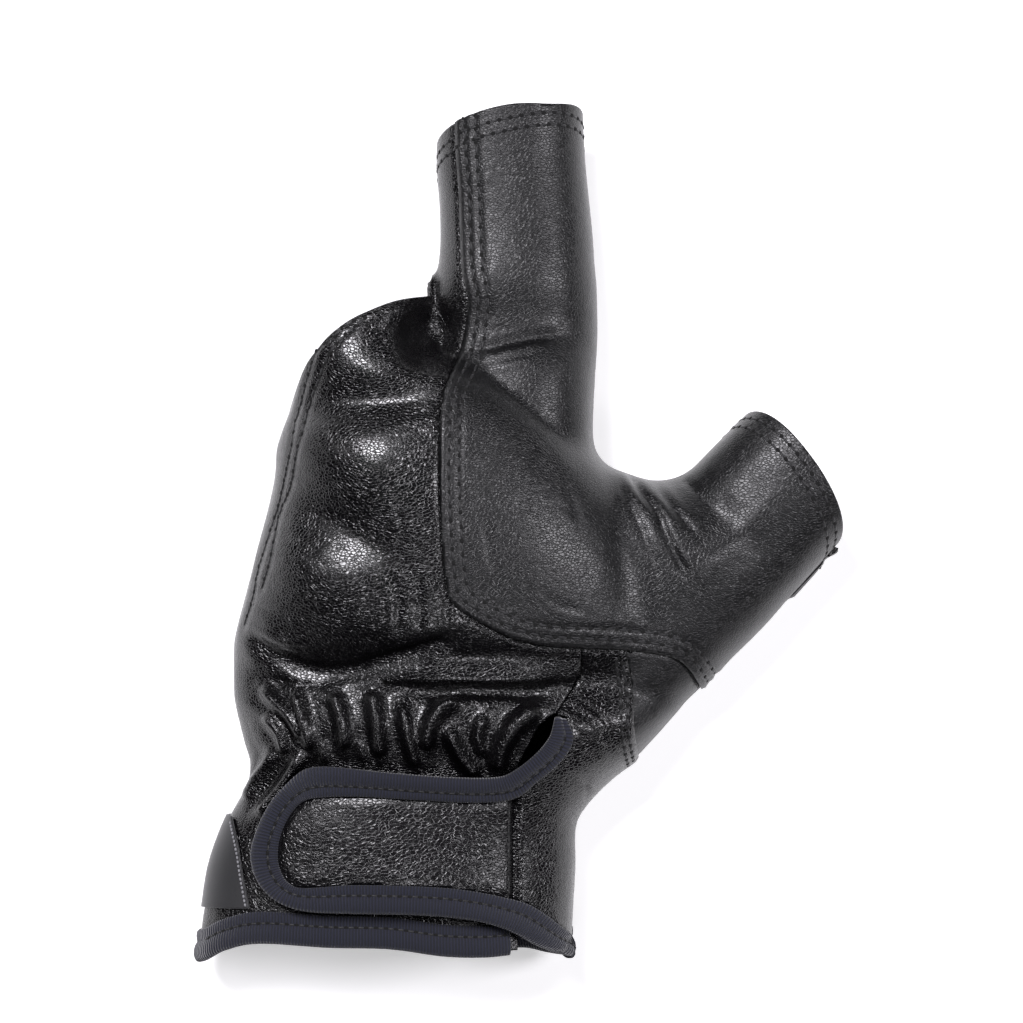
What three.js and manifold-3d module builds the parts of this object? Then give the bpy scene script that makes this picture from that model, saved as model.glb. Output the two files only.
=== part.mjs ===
// A left-hand bow glove in black leather, lying palm down as if a hand still filled it.
// It covers the palm, the back of the hand, the thumb and the first finger, both open at the tip.
// The other three fingers leave through one wide opening, and a strap with a hook pad closes the wrist.
// X runs towards the thumb, Y towards the fingertips and Z up through the back of the hand.
// The origin is on the table, under the middle of the palm. All lengths are in millimetres.
import * as THREE from "three";
import { mergeVertices } from "three/addons/utils/BufferGeometryUtils.js";
import Module from "manifold-3d";

const wasm = await Module();
wasm.setup();

// Driving dimensions
const palmLength = 133; // from the wrist hem to the finger hem
const palmWidth = 84; // unit of the widths of the hand sections
const palmDepth = 38; // table to the highest point of the back
const wristWidth = 75;
const wristDepth = 30;
const knuckleAt = 26; // Y of the first finger's knuckle
const indexLength = 60; // knuckle to the tip of the finger sleeve
const indexWidth = 31;
const indexDepth = 26;
const indexTipSlope = 0.44; // how far the tip's rim leans back for each millimetre down
const indexTipSkew = 0.217; // how far it leans back for each millimetre towards the other fingers
const thumbRootX = 24.7;
const thumbRootY = -18.5;
const thumbHeading = 43.5; // degrees from X towards Y
const thumbLength = 48; // root to the tip of the thumb sleeve
const thumbWidth = 33;
const thumbDepth = 27;
const thumbTipSlope = 0.45;
const thumbTipSkew = -0.144;
const leather = 1.2; // thickness of the leather
const hollowPast = 6; // how far the hand's hollow is run past its openings before they are cut
const seamGap = 0.3; // clearance between neighbouring pieces
const seamHeight = 13; // height of the side seams, where the back meets the palm
const restDepth = 2; // how far the palm is pressed flat by the table
const bindingProud = 0.5; // how far the tape stands out of the leather, on each face
const hemTapeWidth = 6.4;
const padThickness = 0.9; // each half of the hook and loop fastener
const padGap = 0.45; // clearance between the strap, its two pads and the cuff
const strapLift = leather + 2 * padThickness + 3 * padGap; // the strap's face above the cuff
const labelThickness = 0.5;
const labelLow = 4.5; // height of the label's lower edge
const fingerHemSetback = 2.5; // how far the palm's finger hem lies behind the back's

// Sections of the hand, from the finger opening to the wrist crease.
// along is a share of palmLength, left and right of palmWidth, high of palmDepth, lift of strapLift.
const HAND = [
  { along: 0.386, left: -0.539, right: -0.200, high: 0.711, lift: 0 },
  { along: 0.350, left: -0.544, right: -0.195, high: 0.789, lift: 0 },
  { along: 0.314, left: -0.549, right: -0.192, high: 0.829, lift: 0 },
  { along: 0.290, left: -0.549, right: -0.185, high: 0.852, lift: 0 },
  { along: 0.265, left: -0.548, right: -0.145, high: 0.876, lift: 0 },
  { along: 0.229, left: -0.544, right: 0.000, high: 0.921, lift: 0 },
  { along: 0.184, left: -0.539, right: 0.100, high: 0.961, lift: 0 },
  { along: 0.124, left: -0.561, right: 0.185, high: 0.987, lift: 0 },
  { along: 0.049, left: -0.587, right: 0.275, high: 1.000, lift: 0 },
  { along: -0.026, left: -0.615, right: 0.330, high: 1.000, lift: 0 },
  { along: -0.102, left: -0.649, right: 0.370, high: 0.974, lift: 0 },
  { along: -0.162, left: -0.673, right: 0.399, high: 0.908, lift: 0 },
  { along: -0.198, left: -0.675, right: 0.413, high: 0.815, lift: 0 },
  { along: -0.222, left: -0.675, right: 0.413, high: 0.762, lift: 0 },
  { along: -0.252, left: -0.673, right: 0.406, high: 0.806, lift: 0 },
];

// Sections of the cuff: left and right are shares of wristWidth, high of wristDepth.
const CUFF = [
  { along: -0.288, left: -0.740, right: 0.404, high: 1.067, lift: 0.35 },
  { along: -0.318, left: -0.727, right: 0.356, high: 1.033, lift: 0.7 },
  { along: -0.348, left: -0.711, right: 0.305, high: 0.967, lift: 1 },
  { along: -0.378, left: -0.719, right: 0.244, high: 0.917, lift: 1 },
  { along: -0.408, left: -0.748, right: 0.193, high: 0.900, lift: 1 },
  { along: -0.438, left: -0.777, right: 0.161, high: 0.900, lift: 1 },
  { along: -0.498, left: -0.815, right: 0.159, high: 0.900, lift: 1 },
  { along: -0.559, left: -0.833, right: 0.153, high: 0.917, lift: 1 },
  { along: -0.619, left: -0.847, right: 0.148, high: 0.933, lift: 1 },
  { along: -0.665, left: -0.847, right: 0.145, high: 0.933, lift: 1 },
];

// Sections of the finger sleeve: along is a share of indexLength from the knuckle.
const INDEX = [
  { along: -0.258, left: -0.484, right: 0.484, high: 1.154 },
  { along: -0.005, left: -0.468, right: 0.503, high: 1.135 },
  { along: 0.128, left: -0.500, right: 0.516, high: 1.096 },
  { along: 0.195, left: -0.526, right: 0.523, high: 1.023 },
  { along: 0.262, left: -0.542, right: 0.526, high: 1.000 },
  { along: 0.328, left: -0.542, right: 0.523, high: 1.023 },
  { along: 0.395, left: -0.532, right: 0.519, high: 1.038 },
  { along: 0.462, left: -0.506, right: 0.506, high: 1.031 },
  { along: 0.542, left: -0.494, right: 0.497, high: 1.012 },
  { along: 0.662, left: -0.500, right: 0.474, high: 0.992 },
  { along: 0.795, left: -0.519, right: 0.448, high: 0.977 },
  { along: 0.928, left: -0.516, right: 0.435, high: 0.969 },
  { along: 1.075, left: -0.516, right: 0.435, high: 0.962 },
];

// Sections of the thumb sleeve, with the web to the first finger on its left.
const THUMB = [
  { along: -0.36, left: -0.46, right: 0.50, high: 0.93 },
  { along: -0.10, left: -0.62, right: 0.53, high: 1.00 },
  { along: 0.15, left: -0.80, right: 0.53, high: 1.06 },
  { along: 0.30, left: -0.84, right: 0.53, high: 1.06 },
  { along: 0.39, left: -0.76, right: 0.525, high: 1.04 },
  { along: 0.43, left: -0.62, right: 0.52, high: 1.02 },
  { along: 0.49, left: -0.53, right: 0.51, high: 1.00 },
  { along: 0.58, left: -0.475, right: 0.50, high: 0.98 },
  { along: 0.71, left: -0.475, right: 0.485, high: 0.98 },
  { along: 0.88, left: -0.485, right: 0.465, high: 0.98 },
  { along: 1.10, left: -0.485, right: 0.455, high: 0.97 },
];

// Dents of the leather, as soft grooves between two places. X and width are shares of palmWidth,
// Y of palmLength and depth of palmDepth.
const DENTS = [
  { name: "web fold", fromX: 0.390, fromY: 0.085, toX: 0.450, toY: 0.010, width: 0.050, depth: 0.060 },
  { name: "knuckle", fromX: -0.080, fromY: 0.290, toX: 0.120, toY: 0.285, width: 0.045, depth: 0.030 },
];

// Ridges of the gathered leather above the strap, with the same shares
const GATHERS = [
  { name: "ulnar", fromX: -0.587, fromY: -0.267, toX: -0.555, toY: -0.339, width: 0.018, height: 0.050 },
  { name: "second", fromX: -0.515, fromY: -0.240, toX: -0.487, toY: -0.330, width: 0.017, height: 0.050 },
  { name: "third", fromX: -0.444, fromY: -0.235, toX: -0.437, toY: -0.350, width: 0.016, height: 0.045 },
  { name: "fourth", fromX: -0.372, fromY: -0.236, toX: -0.362, toY: -0.345, width: 0.016, height: 0.047 },
  { name: "fifth", fromX: -0.326, fromY: -0.231, toX: -0.319, toY: -0.326, width: 0.016, height: 0.047 },
  { name: "sixth", fromX: -0.251, fromY: -0.271, toX: -0.237, toY: -0.353, width: 0.018, height: 0.050 },
  { name: "seventh", fromX: -0.123, fromY: -0.244, toX: -0.201, toY: -0.321, width: 0.020, height: 0.058 },
  { name: "eighth", fromX: -0.060, fromY: -0.260, toX: -0.115, toY: -0.353, width: 0.020, height: 0.053 },
  { name: "vent", fromX: 0.042, fromY: -0.262, toX: -0.044, toY: -0.353, width: 0.025, height: 0.060 },
  { name: "outer", fromX: -0.508, fromY: -0.330, toX: -0.545, toY: -0.370, width: 0.020, height: 0.053 },
  { name: "edge", fromX: -0.556, fromY: -0.335, toX: -0.670, toY: -0.407, width: 0.018, height: 0.040 },
];

// Where the gathers lie along the hand
const gathersFrom = -0.37 * palmLength;
const gathersTo = -0.22 * palmLength;

// Shapes of the sections: 2 is an ellipse, more is squarer.
const archPower = 2.3;
const basePower = 2.6;

// Spacing of the rings along the body and along the sleeves
const bodyStep = 6.4;
const sleeveStep = 6;

// Colours of the finishes
const backLeather = { color: 0x1c1a1b, roughness: 0.42, metalness: 0 };
const gripLeather = { color: 0x242326, roughness: 0.5, metalness: 0 };
const bindingTape = { color: 0x16171f, roughness: 0.85, metalness: 0 };
const fastenerPile = { color: 0x101012, roughness: 0.95, metalness: 0 };
const labelSatin = { color: 0x191a1e, roughness: 0.6, metalness: 0 };

// Places on the hand, cuff, finger and thumb, from shares of their sizes
const onHand = (u, v) => new THREE.Vector2(u * palmWidth, v * palmLength);
const onCuff = (u, v) => new THREE.Vector2(u * wristWidth, v * palmLength);
const onIndex = (u, v) => new THREE.Vector2(u * indexWidth, knuckleAt + v * indexLength);
const thumbAngle = THREE.MathUtils.degToRad(thumbHeading);
const onThumb = (u, v) =>
  new THREE.Vector2(v * thumbLength, -u * thumbWidth)
    .rotateAround(new THREE.Vector2(), thumbAngle)
    .add(new THREE.Vector2(thumbRootX, thumbRootY));

// A column of a section table, read anywhere along it with a smooth curve through the rows
function read(rows, column, at) {
  const last = rows.length - 1;
  let i = 0;
  while (i < last - 1 && rows[i + 1].at < at) i += 1;
  const [a, b] = [rows[i], rows[i + 1]];
  const before = rows[Math.max(i - 1, 0)];
  const after = rows[Math.min(i + 2, last)];
  const span = b.at - a.at;
  const slopeA = ((b[column] - before[column]) / (b.at - before.at)) * span;
  const slopeB = ((after[column] - a[column]) / (after.at - a.at)) * span;
  const t = THREE.MathUtils.clamp((at - a.at) / span, 0, 1);
  const [t2, t3] = [t * t, t * t * t];
  return (
    (2 * t3 - 3 * t2 + 1) * a[column] +
    (t3 - 2 * t2 + t) * slopeA +
    (3 * t2 - 2 * t3) * b[column] +
    (t3 - t2) * slopeB
  );
}

// A table with its shares turned into millimetres, ordered along the piece
function sections(rows, start, length, width, depth) {
  return rows
    .map(({ along, left, right, high, lift = 0 }) => ({
      at: start + along * length,
      left: left * width,
      right: right * width,
      high: high * depth,
      lift: lift * strapLift,
    }))
    .sort((a, b) => a.at - b.at);
}

const bodySections = [
  ...sections(CUFF, 0, palmLength, wristWidth, wristDepth),
  ...sections(HAND, 0, palmLength, palmWidth, palmDepth),
];
const indexSections = sections(INDEX, knuckleAt, indexLength, indexWidth, indexDepth);
const thumbSections = sections(THUMB, 0, thumbLength, thumbWidth, thumbDepth);

// How much of a groove or ridge reaches a place: 1 on its line, fading over its width
function reach(row, place) {
  const from = onHand(row.fromX, row.fromY);
  const line = onHand(row.toX, row.toY).sub(from);
  const offset = place.clone().sub(from);
  const t = THREE.MathUtils.clamp(offset.dot(line) / line.lengthSq(), 0, 1);
  const distance = offset.addScaledVector(line, -t).length();
  return Math.exp(-((distance / (row.width * palmWidth)) ** 2));
}

// Height that the dents take from the back at a place, and that the gathers add to it
function relief(place, withGathers) {
  const dents = DENTS.map((row) => row.depth * palmDepth * reach(row, place));
  const ridges = withGathers ? GATHERS.map((row) => row.height * palmDepth * reach(row, place)) : [0];
  return Math.max(...ridges) - dents.reduce((sum, depth) => sum + depth, 0);
}

// Places along a piece where its rings stand, closer together between two of them
function stations(from, to, step, closeFrom = to, closeTo = to) {
  const places = [from];
  while (places[places.length - 1] < to) {
    const at = places[places.length - 1];
    const close = at > closeFrom && at < closeTo;
    places.push(Math.min(at + (close ? step / 2 : step), to));
  }
  return places;
}

// One closed solid through the sections. inset moves its wall inwards, rise lifts its arch,
// and place turns a point across and along the piece into one on the table.
function tube({ table, rings, arch, base, inset = 0, rise = 0, gathers = false }, place) {
  const count = rings.length - 1;
  const ringPoints = arch + base;
  const positions = [];
  const faces = [];
  for (const at of rings) {
    const left = read(table, "left", at) + inset;
    const right = read(table, "right", at) - inset;
    const top = read(table, "high", at) + rise * (read(table, "lift", at) / strapLift) - inset;
    const floor = Math.max(inset, 0);
    for (let k = 0; k < ringPoints; k += 1) {
      const upper = k < arch;
      const turn = upper ? k / arch : 1 + (k - arch) / base;
      const power = 2 / (upper ? archPower : basePower);
      const cos = Math.cos(Math.PI * turn);
      const sin = Math.sin(Math.PI * turn);
      const across = (left + right) / 2 + ((right - left) / 2) * Math.sign(cos) * Math.abs(cos) ** power;
      const share = Math.abs(sin) ** power;
      const low = seamHeight + restDepth - inset;
      const spot = place(across, at);
      const height = upper
        ? seamHeight + (top - seamHeight) * share + relief(spot, gathers) * share
        : Math.max(seamHeight - low * share, floor);
      positions.push(spot.x, spot.y, height);
    }
  }
  for (let i = 0; i < count; i += 1) {
    for (let k = 0; k < ringPoints; k += 1) {
      const next = (k + 1) % ringPoints;
      const [a, b] = [i * ringPoints + k, i * ringPoints + next];
      faces.push(a, a + ringPoints, b, b, a + ringPoints, b + ringPoints);
    }
  }
  for (const [ring, flip] of [[0, false], [count, true]]) {
    const first = ring * ringPoints;
    const centre = positions.length / 3;
    const mid = [0, 1, 2].map((axis) => {
      const far = first + arch;
      return (positions[first * 3 + axis] + positions[far * 3 + axis]) / 2;
    });
    positions.push(...mid);
    for (let k = 0; k < ringPoints; k += 1) {
      const next = (k + 1) % ringPoints;
      faces.push(centre, first + (flip ? next : k), first + (flip ? k : next));
    }
  }
  const geometry = new THREE.BufferGeometry();
  geometry.setAttribute("position", new THREE.Float32BufferAttribute(positions, 3));
  geometry.setIndex(faces);
  return solid(geometry);
}

// A three.js geometry as a solid that can be joined and cut, with its faces turned out
function solid(geometry) {
  const bare = geometry.clone();
  bare.deleteAttribute("normal");
  bare.deleteAttribute("uv");
  const merged = mergeVertices(bare, 1e-4);
  const vertProperties = new Float32Array(merged.attributes.position.array);
  const triVerts = new Uint32Array(merged.index.array);
  const made = new wasm.Manifold(new wasm.Mesh({ numProp: 3, vertProperties, triVerts }));
  if (made.volume() > 0) return made;
  const turned = triVerts.slice();
  for (let i = 0; i < turned.length; i += 3) {
    [turned[i + 1], turned[i + 2]] = [turned[i + 2], turned[i + 1]];
  }
  return new wasm.Manifold(new wasm.Mesh({ numProp: 3, vertProperties, triVerts: turned }));
}

// A tall block over an outline on the table, for cutting a panel out of the glove
const cutterLow = -20;
const cutterHigh = 2 * palmDepth;
function block(outline, low = cutterLow, high = cutterHigh) {
  const shape = new THREE.Shape(outline);
  const geometry = new THREE.ExtrudeGeometry(shape, { depth: high - low, bevelEnabled: false });
  return solid(geometry.translate(0, 0, low));
}

// A smooth line through a few points, and the line beside it at a distance to its left
const smooth = (points, count) => new THREE.SplineCurve(points).getPoints(count);
function beside(line, distance) {
  return line.map((point, i) => {
    const ahead = line[Math.min(i + 1, line.length - 1)];
    const behind = line[Math.max(i - 1, 0)];
    const run = ahead.clone().sub(behind).normalize();
    return new THREE.Vector2(point.x - run.y * distance, point.y + run.x * distance);
  });
}

// The nearest point of a line to a place
function nearest(line, place) {
  let best = 0;
  line.forEach((point, i) => {
    if (point.distanceTo(place) < line[best].distanceTo(place)) best = i;
  });
  return best;
}

// A finished solid as a three.js geometry
function geometryOf(made) {
  const { vertProperties, triVerts, numProp } = made.getMesh();
  const corners = new Float32Array((vertProperties.length / numProp) * 3);
  for (let i = 0; i < corners.length / 3; i += 1) {
    corners.set(vertProperties.subarray(i * numProp, i * numProp + 3), i * 3);
  }
  const geometry = new THREE.BufferGeometry();
  geometry.setAttribute("position", new THREE.BufferAttribute(corners, 3));
  geometry.setIndex(new THREE.BufferAttribute(new Uint32Array(triVerts), 1));
  geometry.computeVertexNormals();
  return geometry;
}

// Lines of the pattern pieces, seen from above. A positive offset from one is to its left.

// Edge of the grip panel: down the finger, round the middle of the hand and out below the thumb
const gripEdge = smooth(
  [
    onIndex(-0.40, 1.15),
    onIndex(-0.385, 0.84),
    onIndex(-0.365, 0.69),
    onIndex(-0.345, 0.435),
    onIndex(-0.307, 0.33),
    onHand(-0.132, 0.27),
    onHand(-0.173, 0.202),
    onHand(-0.181, 0.107),
    onHand(-0.177, 0.011),
    onHand(-0.165, -0.074),
    onHand(-0.143, -0.108),
    onHand(-0.044, -0.147),
    onHand(0.046, -0.166),
    onHand(0.152, -0.171),
    onHand(0.258, -0.175),
    onThumb(0.295, 0.014),
    onThumb(0.536, 0.001),
    onThumb(0.696, -0.041),
  ],
  51,
);
const crotchAt = nearest(gripEdge, onHand(-0.127, 0.265));
const ventSeamAt = nearest(gripEdge, onHand(0.160, -0.171));
const heelSeamAt = nearest(gripEdge, onHand(0.262, -0.176));

// Seam at the finger's root, where its side panel leaves the back of the hand
const crotchSeam = [gripEdge[crotchAt], onHand(-0.204, 0.354), onHand(-0.325, 0.44)];

// Hem of the finger opening, from the crotch round to the little finger's side
const fingerHem = smooth(
  [
    onHand(-0.202, 0.355),
    onHand(-0.280, 0.347),
    onHand(-0.344, 0.332),
    onHand(-0.404, 0.313),
    onHand(-0.458, 0.284),
    onHand(-0.496, 0.253),
    onHand(-0.518, 0.223),
    onHand(-0.540, 0.186),
    onHand(-0.575, 0.130),
  ],
  24,
);

// Hem of the cuff, from the little finger's side to the thumb's side
const cuffHem = smooth(
  [
    onCuff(-0.98, -0.645),
    onCuff(-0.86, -0.646),
    onCuff(-0.777, -0.624),
    onCuff(-0.681, -0.612),
    onCuff(-0.497, -0.617),
    onCuff(-0.337, -0.619),
    onCuff(-0.193, -0.630),
    onCuff(-0.081, -0.632),
    onCuff(0.02, -0.628),
    onCuff(0.11, -0.636),
    onCuff(0.30, -0.640),
  ],
  30,
);

// Outer edge of the strap's binding: from the cuff's corner round the strap's end to the vent
const bindingOuter = smooth(
  [
    onCuff(0.200, -0.648),
    onCuff(0.151, -0.638),
    onCuff(0.063, -0.619),
    onCuff(0.007, -0.601),
    onCuff(-0.049, -0.587),
    onCuff(-0.129, -0.576),
    onCuff(-0.257, -0.569),
    onCuff(-0.417, -0.567),
    onCuff(-0.537, -0.565),
    onCuff(-0.601, -0.558),
    onCuff(-0.649, -0.544),
    onCuff(-0.681, -0.524),
    onCuff(-0.699, -0.501),
    onCuff(-0.703, -0.474),
    onCuff(-0.683, -0.438),
    onCuff(-0.649, -0.402),
    onCuff(-0.601, -0.371),
    onCuff(-0.561, -0.353),
    onCuff(-0.513, -0.348),
    onCuff(-0.449, -0.350),
    onCuff(-0.337, -0.357),
    onCuff(-0.177, -0.364),
    onCuff(-0.052, -0.365),
    onCuff(0.000, -0.354),
    onCuff(0.053, -0.330),
    onCuff(0.085, -0.307),
    onCuff(0.096, -0.290),
    onCuff(0.100, -0.275),
  ],
  54,
);

// Inner edge of the same binding, where it is stitched to the leather
const bindingInner = smooth(
  [
    onCuff(0.200, -0.620),
    onCuff(0.151, -0.605),
    onCuff(0.063, -0.565),
    onCuff(-0.009, -0.547),
    onCuff(-0.177, -0.529),
    onCuff(-0.417, -0.524),
    onCuff(-0.561, -0.529),
    onCuff(-0.604, -0.521),
    onCuff(-0.624, -0.505),
    onCuff(-0.633, -0.485),
    onCuff(-0.628, -0.455),
    onCuff(-0.604, -0.423),
    onCuff(-0.569, -0.402),
    onCuff(-0.521, -0.395),
    onCuff(-0.417, -0.393),
    onCuff(-0.257, -0.398),
    onCuff(-0.097, -0.402),
    onCuff(-0.001, -0.395),
    onCuff(0.054, -0.371),
    onCuff(0.104, -0.348),
    onCuff(0.140, -0.323),
    onCuff(0.150, -0.302),
    onCuff(0.131, -0.277),
  ],
  44,
);

// The strap ends at this seam, and the vent's panel carries on round the thumb's side.
const strapSeamX = onCuff(-0.004, 0).x;
const hemTapeEndX = onCuff(-0.03, 0).x;

// Plain seam above the vent, and stitched seam below the grip panel
const ventSeam = smooth(
  [gripEdge[ventSeamAt], onHand(0.148, -0.205), onHand(0.130, -0.232), onCuff(0.103, -0.268)],
  6,
);
const heelSeam = smooth(
  [
    gripEdge[heelSeamAt],
    onHand(0.274, -0.235),
    onHand(0.276, -0.286),
    onHand(0.286, -0.328),
    onHand(0.300, -0.360),
  ],
  8,
);

// Edge of the back of the hand inside the vent and under the strap
const ventEdge = [
  onCuff(0.080, -0.276),
  onCuff(0.055, -0.290),
  onCuff(0.005, -0.345),
  onCuff(0.003, -0.402),
];

// Edge of the label, stitched round the little finger's side of the cuff
const labelEdge = smooth(
  [onCuff(-0.753, -0.427), onCuff(-0.733, -0.474), onCuff(-0.721, -0.515), onCuff(-0.705, -0.563)],
  6,
);

// Points far outside the glove, for closing the outlines of the blocks
const far = 2 * palmLength;
const out = (x, y) => new THREE.Vector2(x * far, y * far);
const at = (x, y) => new THREE.Vector2(x, y);
const everywhere = [out(-1, -1), out(1, -1), out(1, 1), out(-1, 1)];
const leftOf = (x) => block([out(-1, -1), at(x, -far), at(x, far), out(-1, 1)]);

// The clearance along seams, as one solid of upright strips
function gaps(...lines) {
  const strips = lines.map((line) => [
    ...beside(line, seamGap / 2),
    ...beside(line, -seamGap / 2).reverse(),
  ]);
  return strips.map((strip) => block(strip)).reduce((all, strip) => all.add(strip));
}

// The rings stand at the same places in every layer of the body, so the layers stay parallel.
const bodyFrom = CUFF[CUFF.length - 1].along * palmLength;
const bodyTo = HAND[0].along * palmLength;
const bodyRings = stations(bodyFrom, bodyTo, bodyStep, gathersFrom, gathersTo);
const onThumbAxis = (x, y) => onThumb(x / thumbWidth, y / thumbLength);

function body({ inset = 0, rise = 0, arch = 20, gathers = false }) {
  const hollow = [bodyFrom - hollowPast, ...bodyRings, bodyTo + hollowPast];
  const rings = inset > 0 ? hollow : bodyRings;
  return tube({ table: bodySections, rings, arch, base: 7, inset, rise, gathers }, at);
}
function indexSleeve(inset) {
  const rings = stations(knuckleAt - 0.25 * indexLength, knuckleAt + 1.06 * indexLength + inset, sleeveStep);
  return tube({ table: indexSections, rings, arch: 14, base: 8, inset }, at);
}
function thumbSleeve(inset) {
  const rings = stations(THUMB[0].along * thumbLength, 1.08 * thumbLength + inset, sleeveStep);
  return tube({ table: thumbSections, rings, arch: 14, base: 8, inset }, onThumbAxis);
}

// The hollow hand, whose body stops at the hem of the finger opening
const handReach = block([
  ...fingerHem.slice().reverse(),
  gripEdge[crotchAt],
  at(far, gripEdge[crotchAt].y),
  out(1, -1),
  out(-1, -1),
  out(-1, 0.065),
]);
const sleeves = indexSleeve(0).add(thumbSleeve(0));
const sleeveHollows = indexSleeve(leather).add(thumbSleeve(leather));
const hand = body({ arch: 44, gathers: true }).intersect(handReach);
const glove = hand.add(sleeves).subtract(body({ inset: leather }).add(sleeveHollows));

// The raised layer that the strap, the vent and the heel of the thumb are cut from
const raised = body({ rise: strapLift }).add(thumbSleeve(0));
const raisedLeather = raised.subtract(body({ rise: strapLift, inset: leather }).add(sleeveHollows));
const raisedTape = body({ rise: strapLift, inset: -bindingProud }).subtract(
  body({ rise: strapLift, inset: leather + bindingProud }),
);

// Blocks that part the back from the palm, and that cut the rims of the two sleeves
const halfGap = seamGap / 2;
const aboveSeam = block(everywhere, seamHeight + halfGap);
const belowSeam = block(everywhere, cutterLow, seamHeight - halfGap);

function beyondRim({ centre, heading, slope, skew, width }) {
  const length = indexLength;
  const box = new THREE.BoxGeometry(1.6 * width, length, 3 * palmDepth).translate(0, length / 2, 0);
  const outward = new THREE.Vector3(-skew, 1, -slope).normalize();
  box.applyQuaternion(new THREE.Quaternion().setFromUnitVectors(new THREE.Vector3(0, 1, 0), outward));
  box.rotateZ(heading - Math.PI / 2);
  return solid(box.translate(centre.x, centre.y, seamHeight));
}
const beyondTips = beyondRim({
  centre: onIndex(0, 0.905),
  heading: Math.PI / 2,
  slope: indexTipSlope,
  skew: indexTipSkew,
  width: indexWidth,
}).add(
  beyondRim({
    centre: onThumb(0, 0.865),
    heading: thumbAngle,
    slope: thumbTipSlope,
    skew: thumbTipSkew,
    width: thumbWidth,
  }),
);

// Blocks beyond the finger opening's hem and the cuff's hem, moved by an offset
function beyondFingers(setback) {
  const hem = fingerHem.map((point) => new THREE.Vector2(point.x, point.y - setback));
  const last = hem[hem.length - 1];
  return block([...hem, at(-far, last.y), out(-1, 1), at(hem[0].x, far)]);
}
const beyondCuff = (offset) =>
  block([...beside(cuffHem, offset), out(1, -0.3), out(1, -1), out(-1, -1), out(-1, -0.3)]);

// Blocks over the pattern pieces
const gripBlock = block([...gripEdge, out(1, -0.2), out(1, 1), at(gripEdge[0].x, far)]);
const indexSideBlock = block([
  ...gripEdge.slice(0, crotchAt),
  ...crotchSeam,
  out(-0.3, 0.6),
  at(gripEdge[0].x, far),
]);
const backBlock = block([
  ...crotchSeam.slice().reverse(),
  ...gripEdge.slice(crotchAt + 1, ventSeamAt),
  ...ventSeam,
  ...ventEdge,
  at(ventEdge[3].x, -far),
  out(-1, -1),
  out(-1, 0.6),
]);
const strapBlock = block([
  ...bindingInner,
  onCuff(0.136, -0.273),
  ...ventSeam.slice().reverse(),
  ...gripEdge.slice(ventSeamAt + 1, heelSeamAt),
  ...heelSeam,
  out(0.3, -0.2),
  out(0.3, -0.35),
]);
const heelBlock = block([
  ...gripEdge.slice(heelSeamAt + 1),
  out(0.25, -0.2),
  out(0.095, -0.25),
  ...heelSeam.slice().reverse(),
]);
const bindingBlock = block([...bindingOuter, ...bindingInner.slice().reverse()]);
const labelEnd = labelEdge[labelEdge.length - 1];
const labelOutline = [
  ...labelEdge,
  at(-far, labelEnd.y),
  at(-far, labelEdge[0].y),
];

// The leather above the side seams, and the palm below them
const strapSeam = [at(strapSeamX, -far), at(strapSeamX, far)];
const above = glove
  .intersect(aboveSeam)
  .subtract(beyondTips.add(beyondFingers(0)).add(gaps(gripEdge, crotchSeam, ventSeam, heelSeam)));
const below = glove.intersect(belowSeam).subtract(beyondTips.add(beyondFingers(fingerHemSetback)));
const raisedAbove = raisedLeather
  .intersect(aboveSeam)
  .subtract(beyondTips.add(gaps(gripEdge, ventSeam, heelSeam, bindingInner, strapSeam)));
const cuffEnd = beyondCuff(hemTapeWidth + seamGap);

// The tape round the hem runs all the way under the cuff, and over it as far as the strap.
const hemTape = body({ inset: -bindingProud })
  .subtract(body({ inset: leather + bindingProud }))
  .intersect(beyondCuff(hemTapeWidth).subtract(beyondCuff(0)));

// A pad between the strap and the cuff, at a height above the cuff's leather
function pad({ left, right, low, high, height }) {
  const outline = [onCuff(left, low), onCuff(right, low), onCuff(right, high), onCuff(left, high)];
  return body({ rise: height + padThickness })
    .subtract(body({ rise: height }))
    .intersect(block(outline));
}
const loopPad = { left: -0.588, right: -0.124, low: -0.552, high: -0.387, height: padGap };
const hookHeight = 2 * padGap + padThickness;
const hookPad = { left: -0.575, right: -0.231, low: -0.517, high: -0.405, height: hookHeight };

const pieces = [
  ["back_panel", above.intersect(backBlock).subtract(cuffEnd), backLeather],
  ["grip_panel", above.intersect(gripBlock), gripLeather],
  ["index_side_panel", above.intersect(indexSideBlock), backLeather],
  ["palm_panel", below.subtract(cuffEnd), gripLeather],
  ["vent_panel", raisedAbove.intersect(strapBlock).subtract(leftOf(strapSeamX)), backLeather],
  ["heel_panel", raisedAbove.intersect(heelBlock), backLeather],
  ["strap", raisedAbove.intersect(strapBlock).intersect(leftOf(strapSeamX)), backLeather],
  [
    "strap_binding",
    raisedTape.intersect(bindingBlock).intersect(aboveSeam).subtract(gaps(bindingInner)),
    bindingTape,
  ],
  ["hem_binding", hemTape.intersect(leftOf(hemTapeEndX).add(belowSeam)), bindingTape],
  ["loop_pad", pad(loopPad), fastenerPile],
  ["hook_pad", pad(hookPad), fastenerPile],
  [
    "side_label",
    body({ inset: -seamGap - labelThickness })
      .subtract(body({ inset: -seamGap }))
      .intersect(block(labelOutline, labelLow)),
    labelSatin,
  ],
];

const bowGlove = new THREE.Group();
for (const [name, made, finish] of pieces) {
  const mesh = new THREE.Mesh(geometryOf(made), new THREE.MeshStandardMaterial(finish));
  mesh.name = name;
  bowGlove.add(mesh);
}
export default bowGlove;
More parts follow.
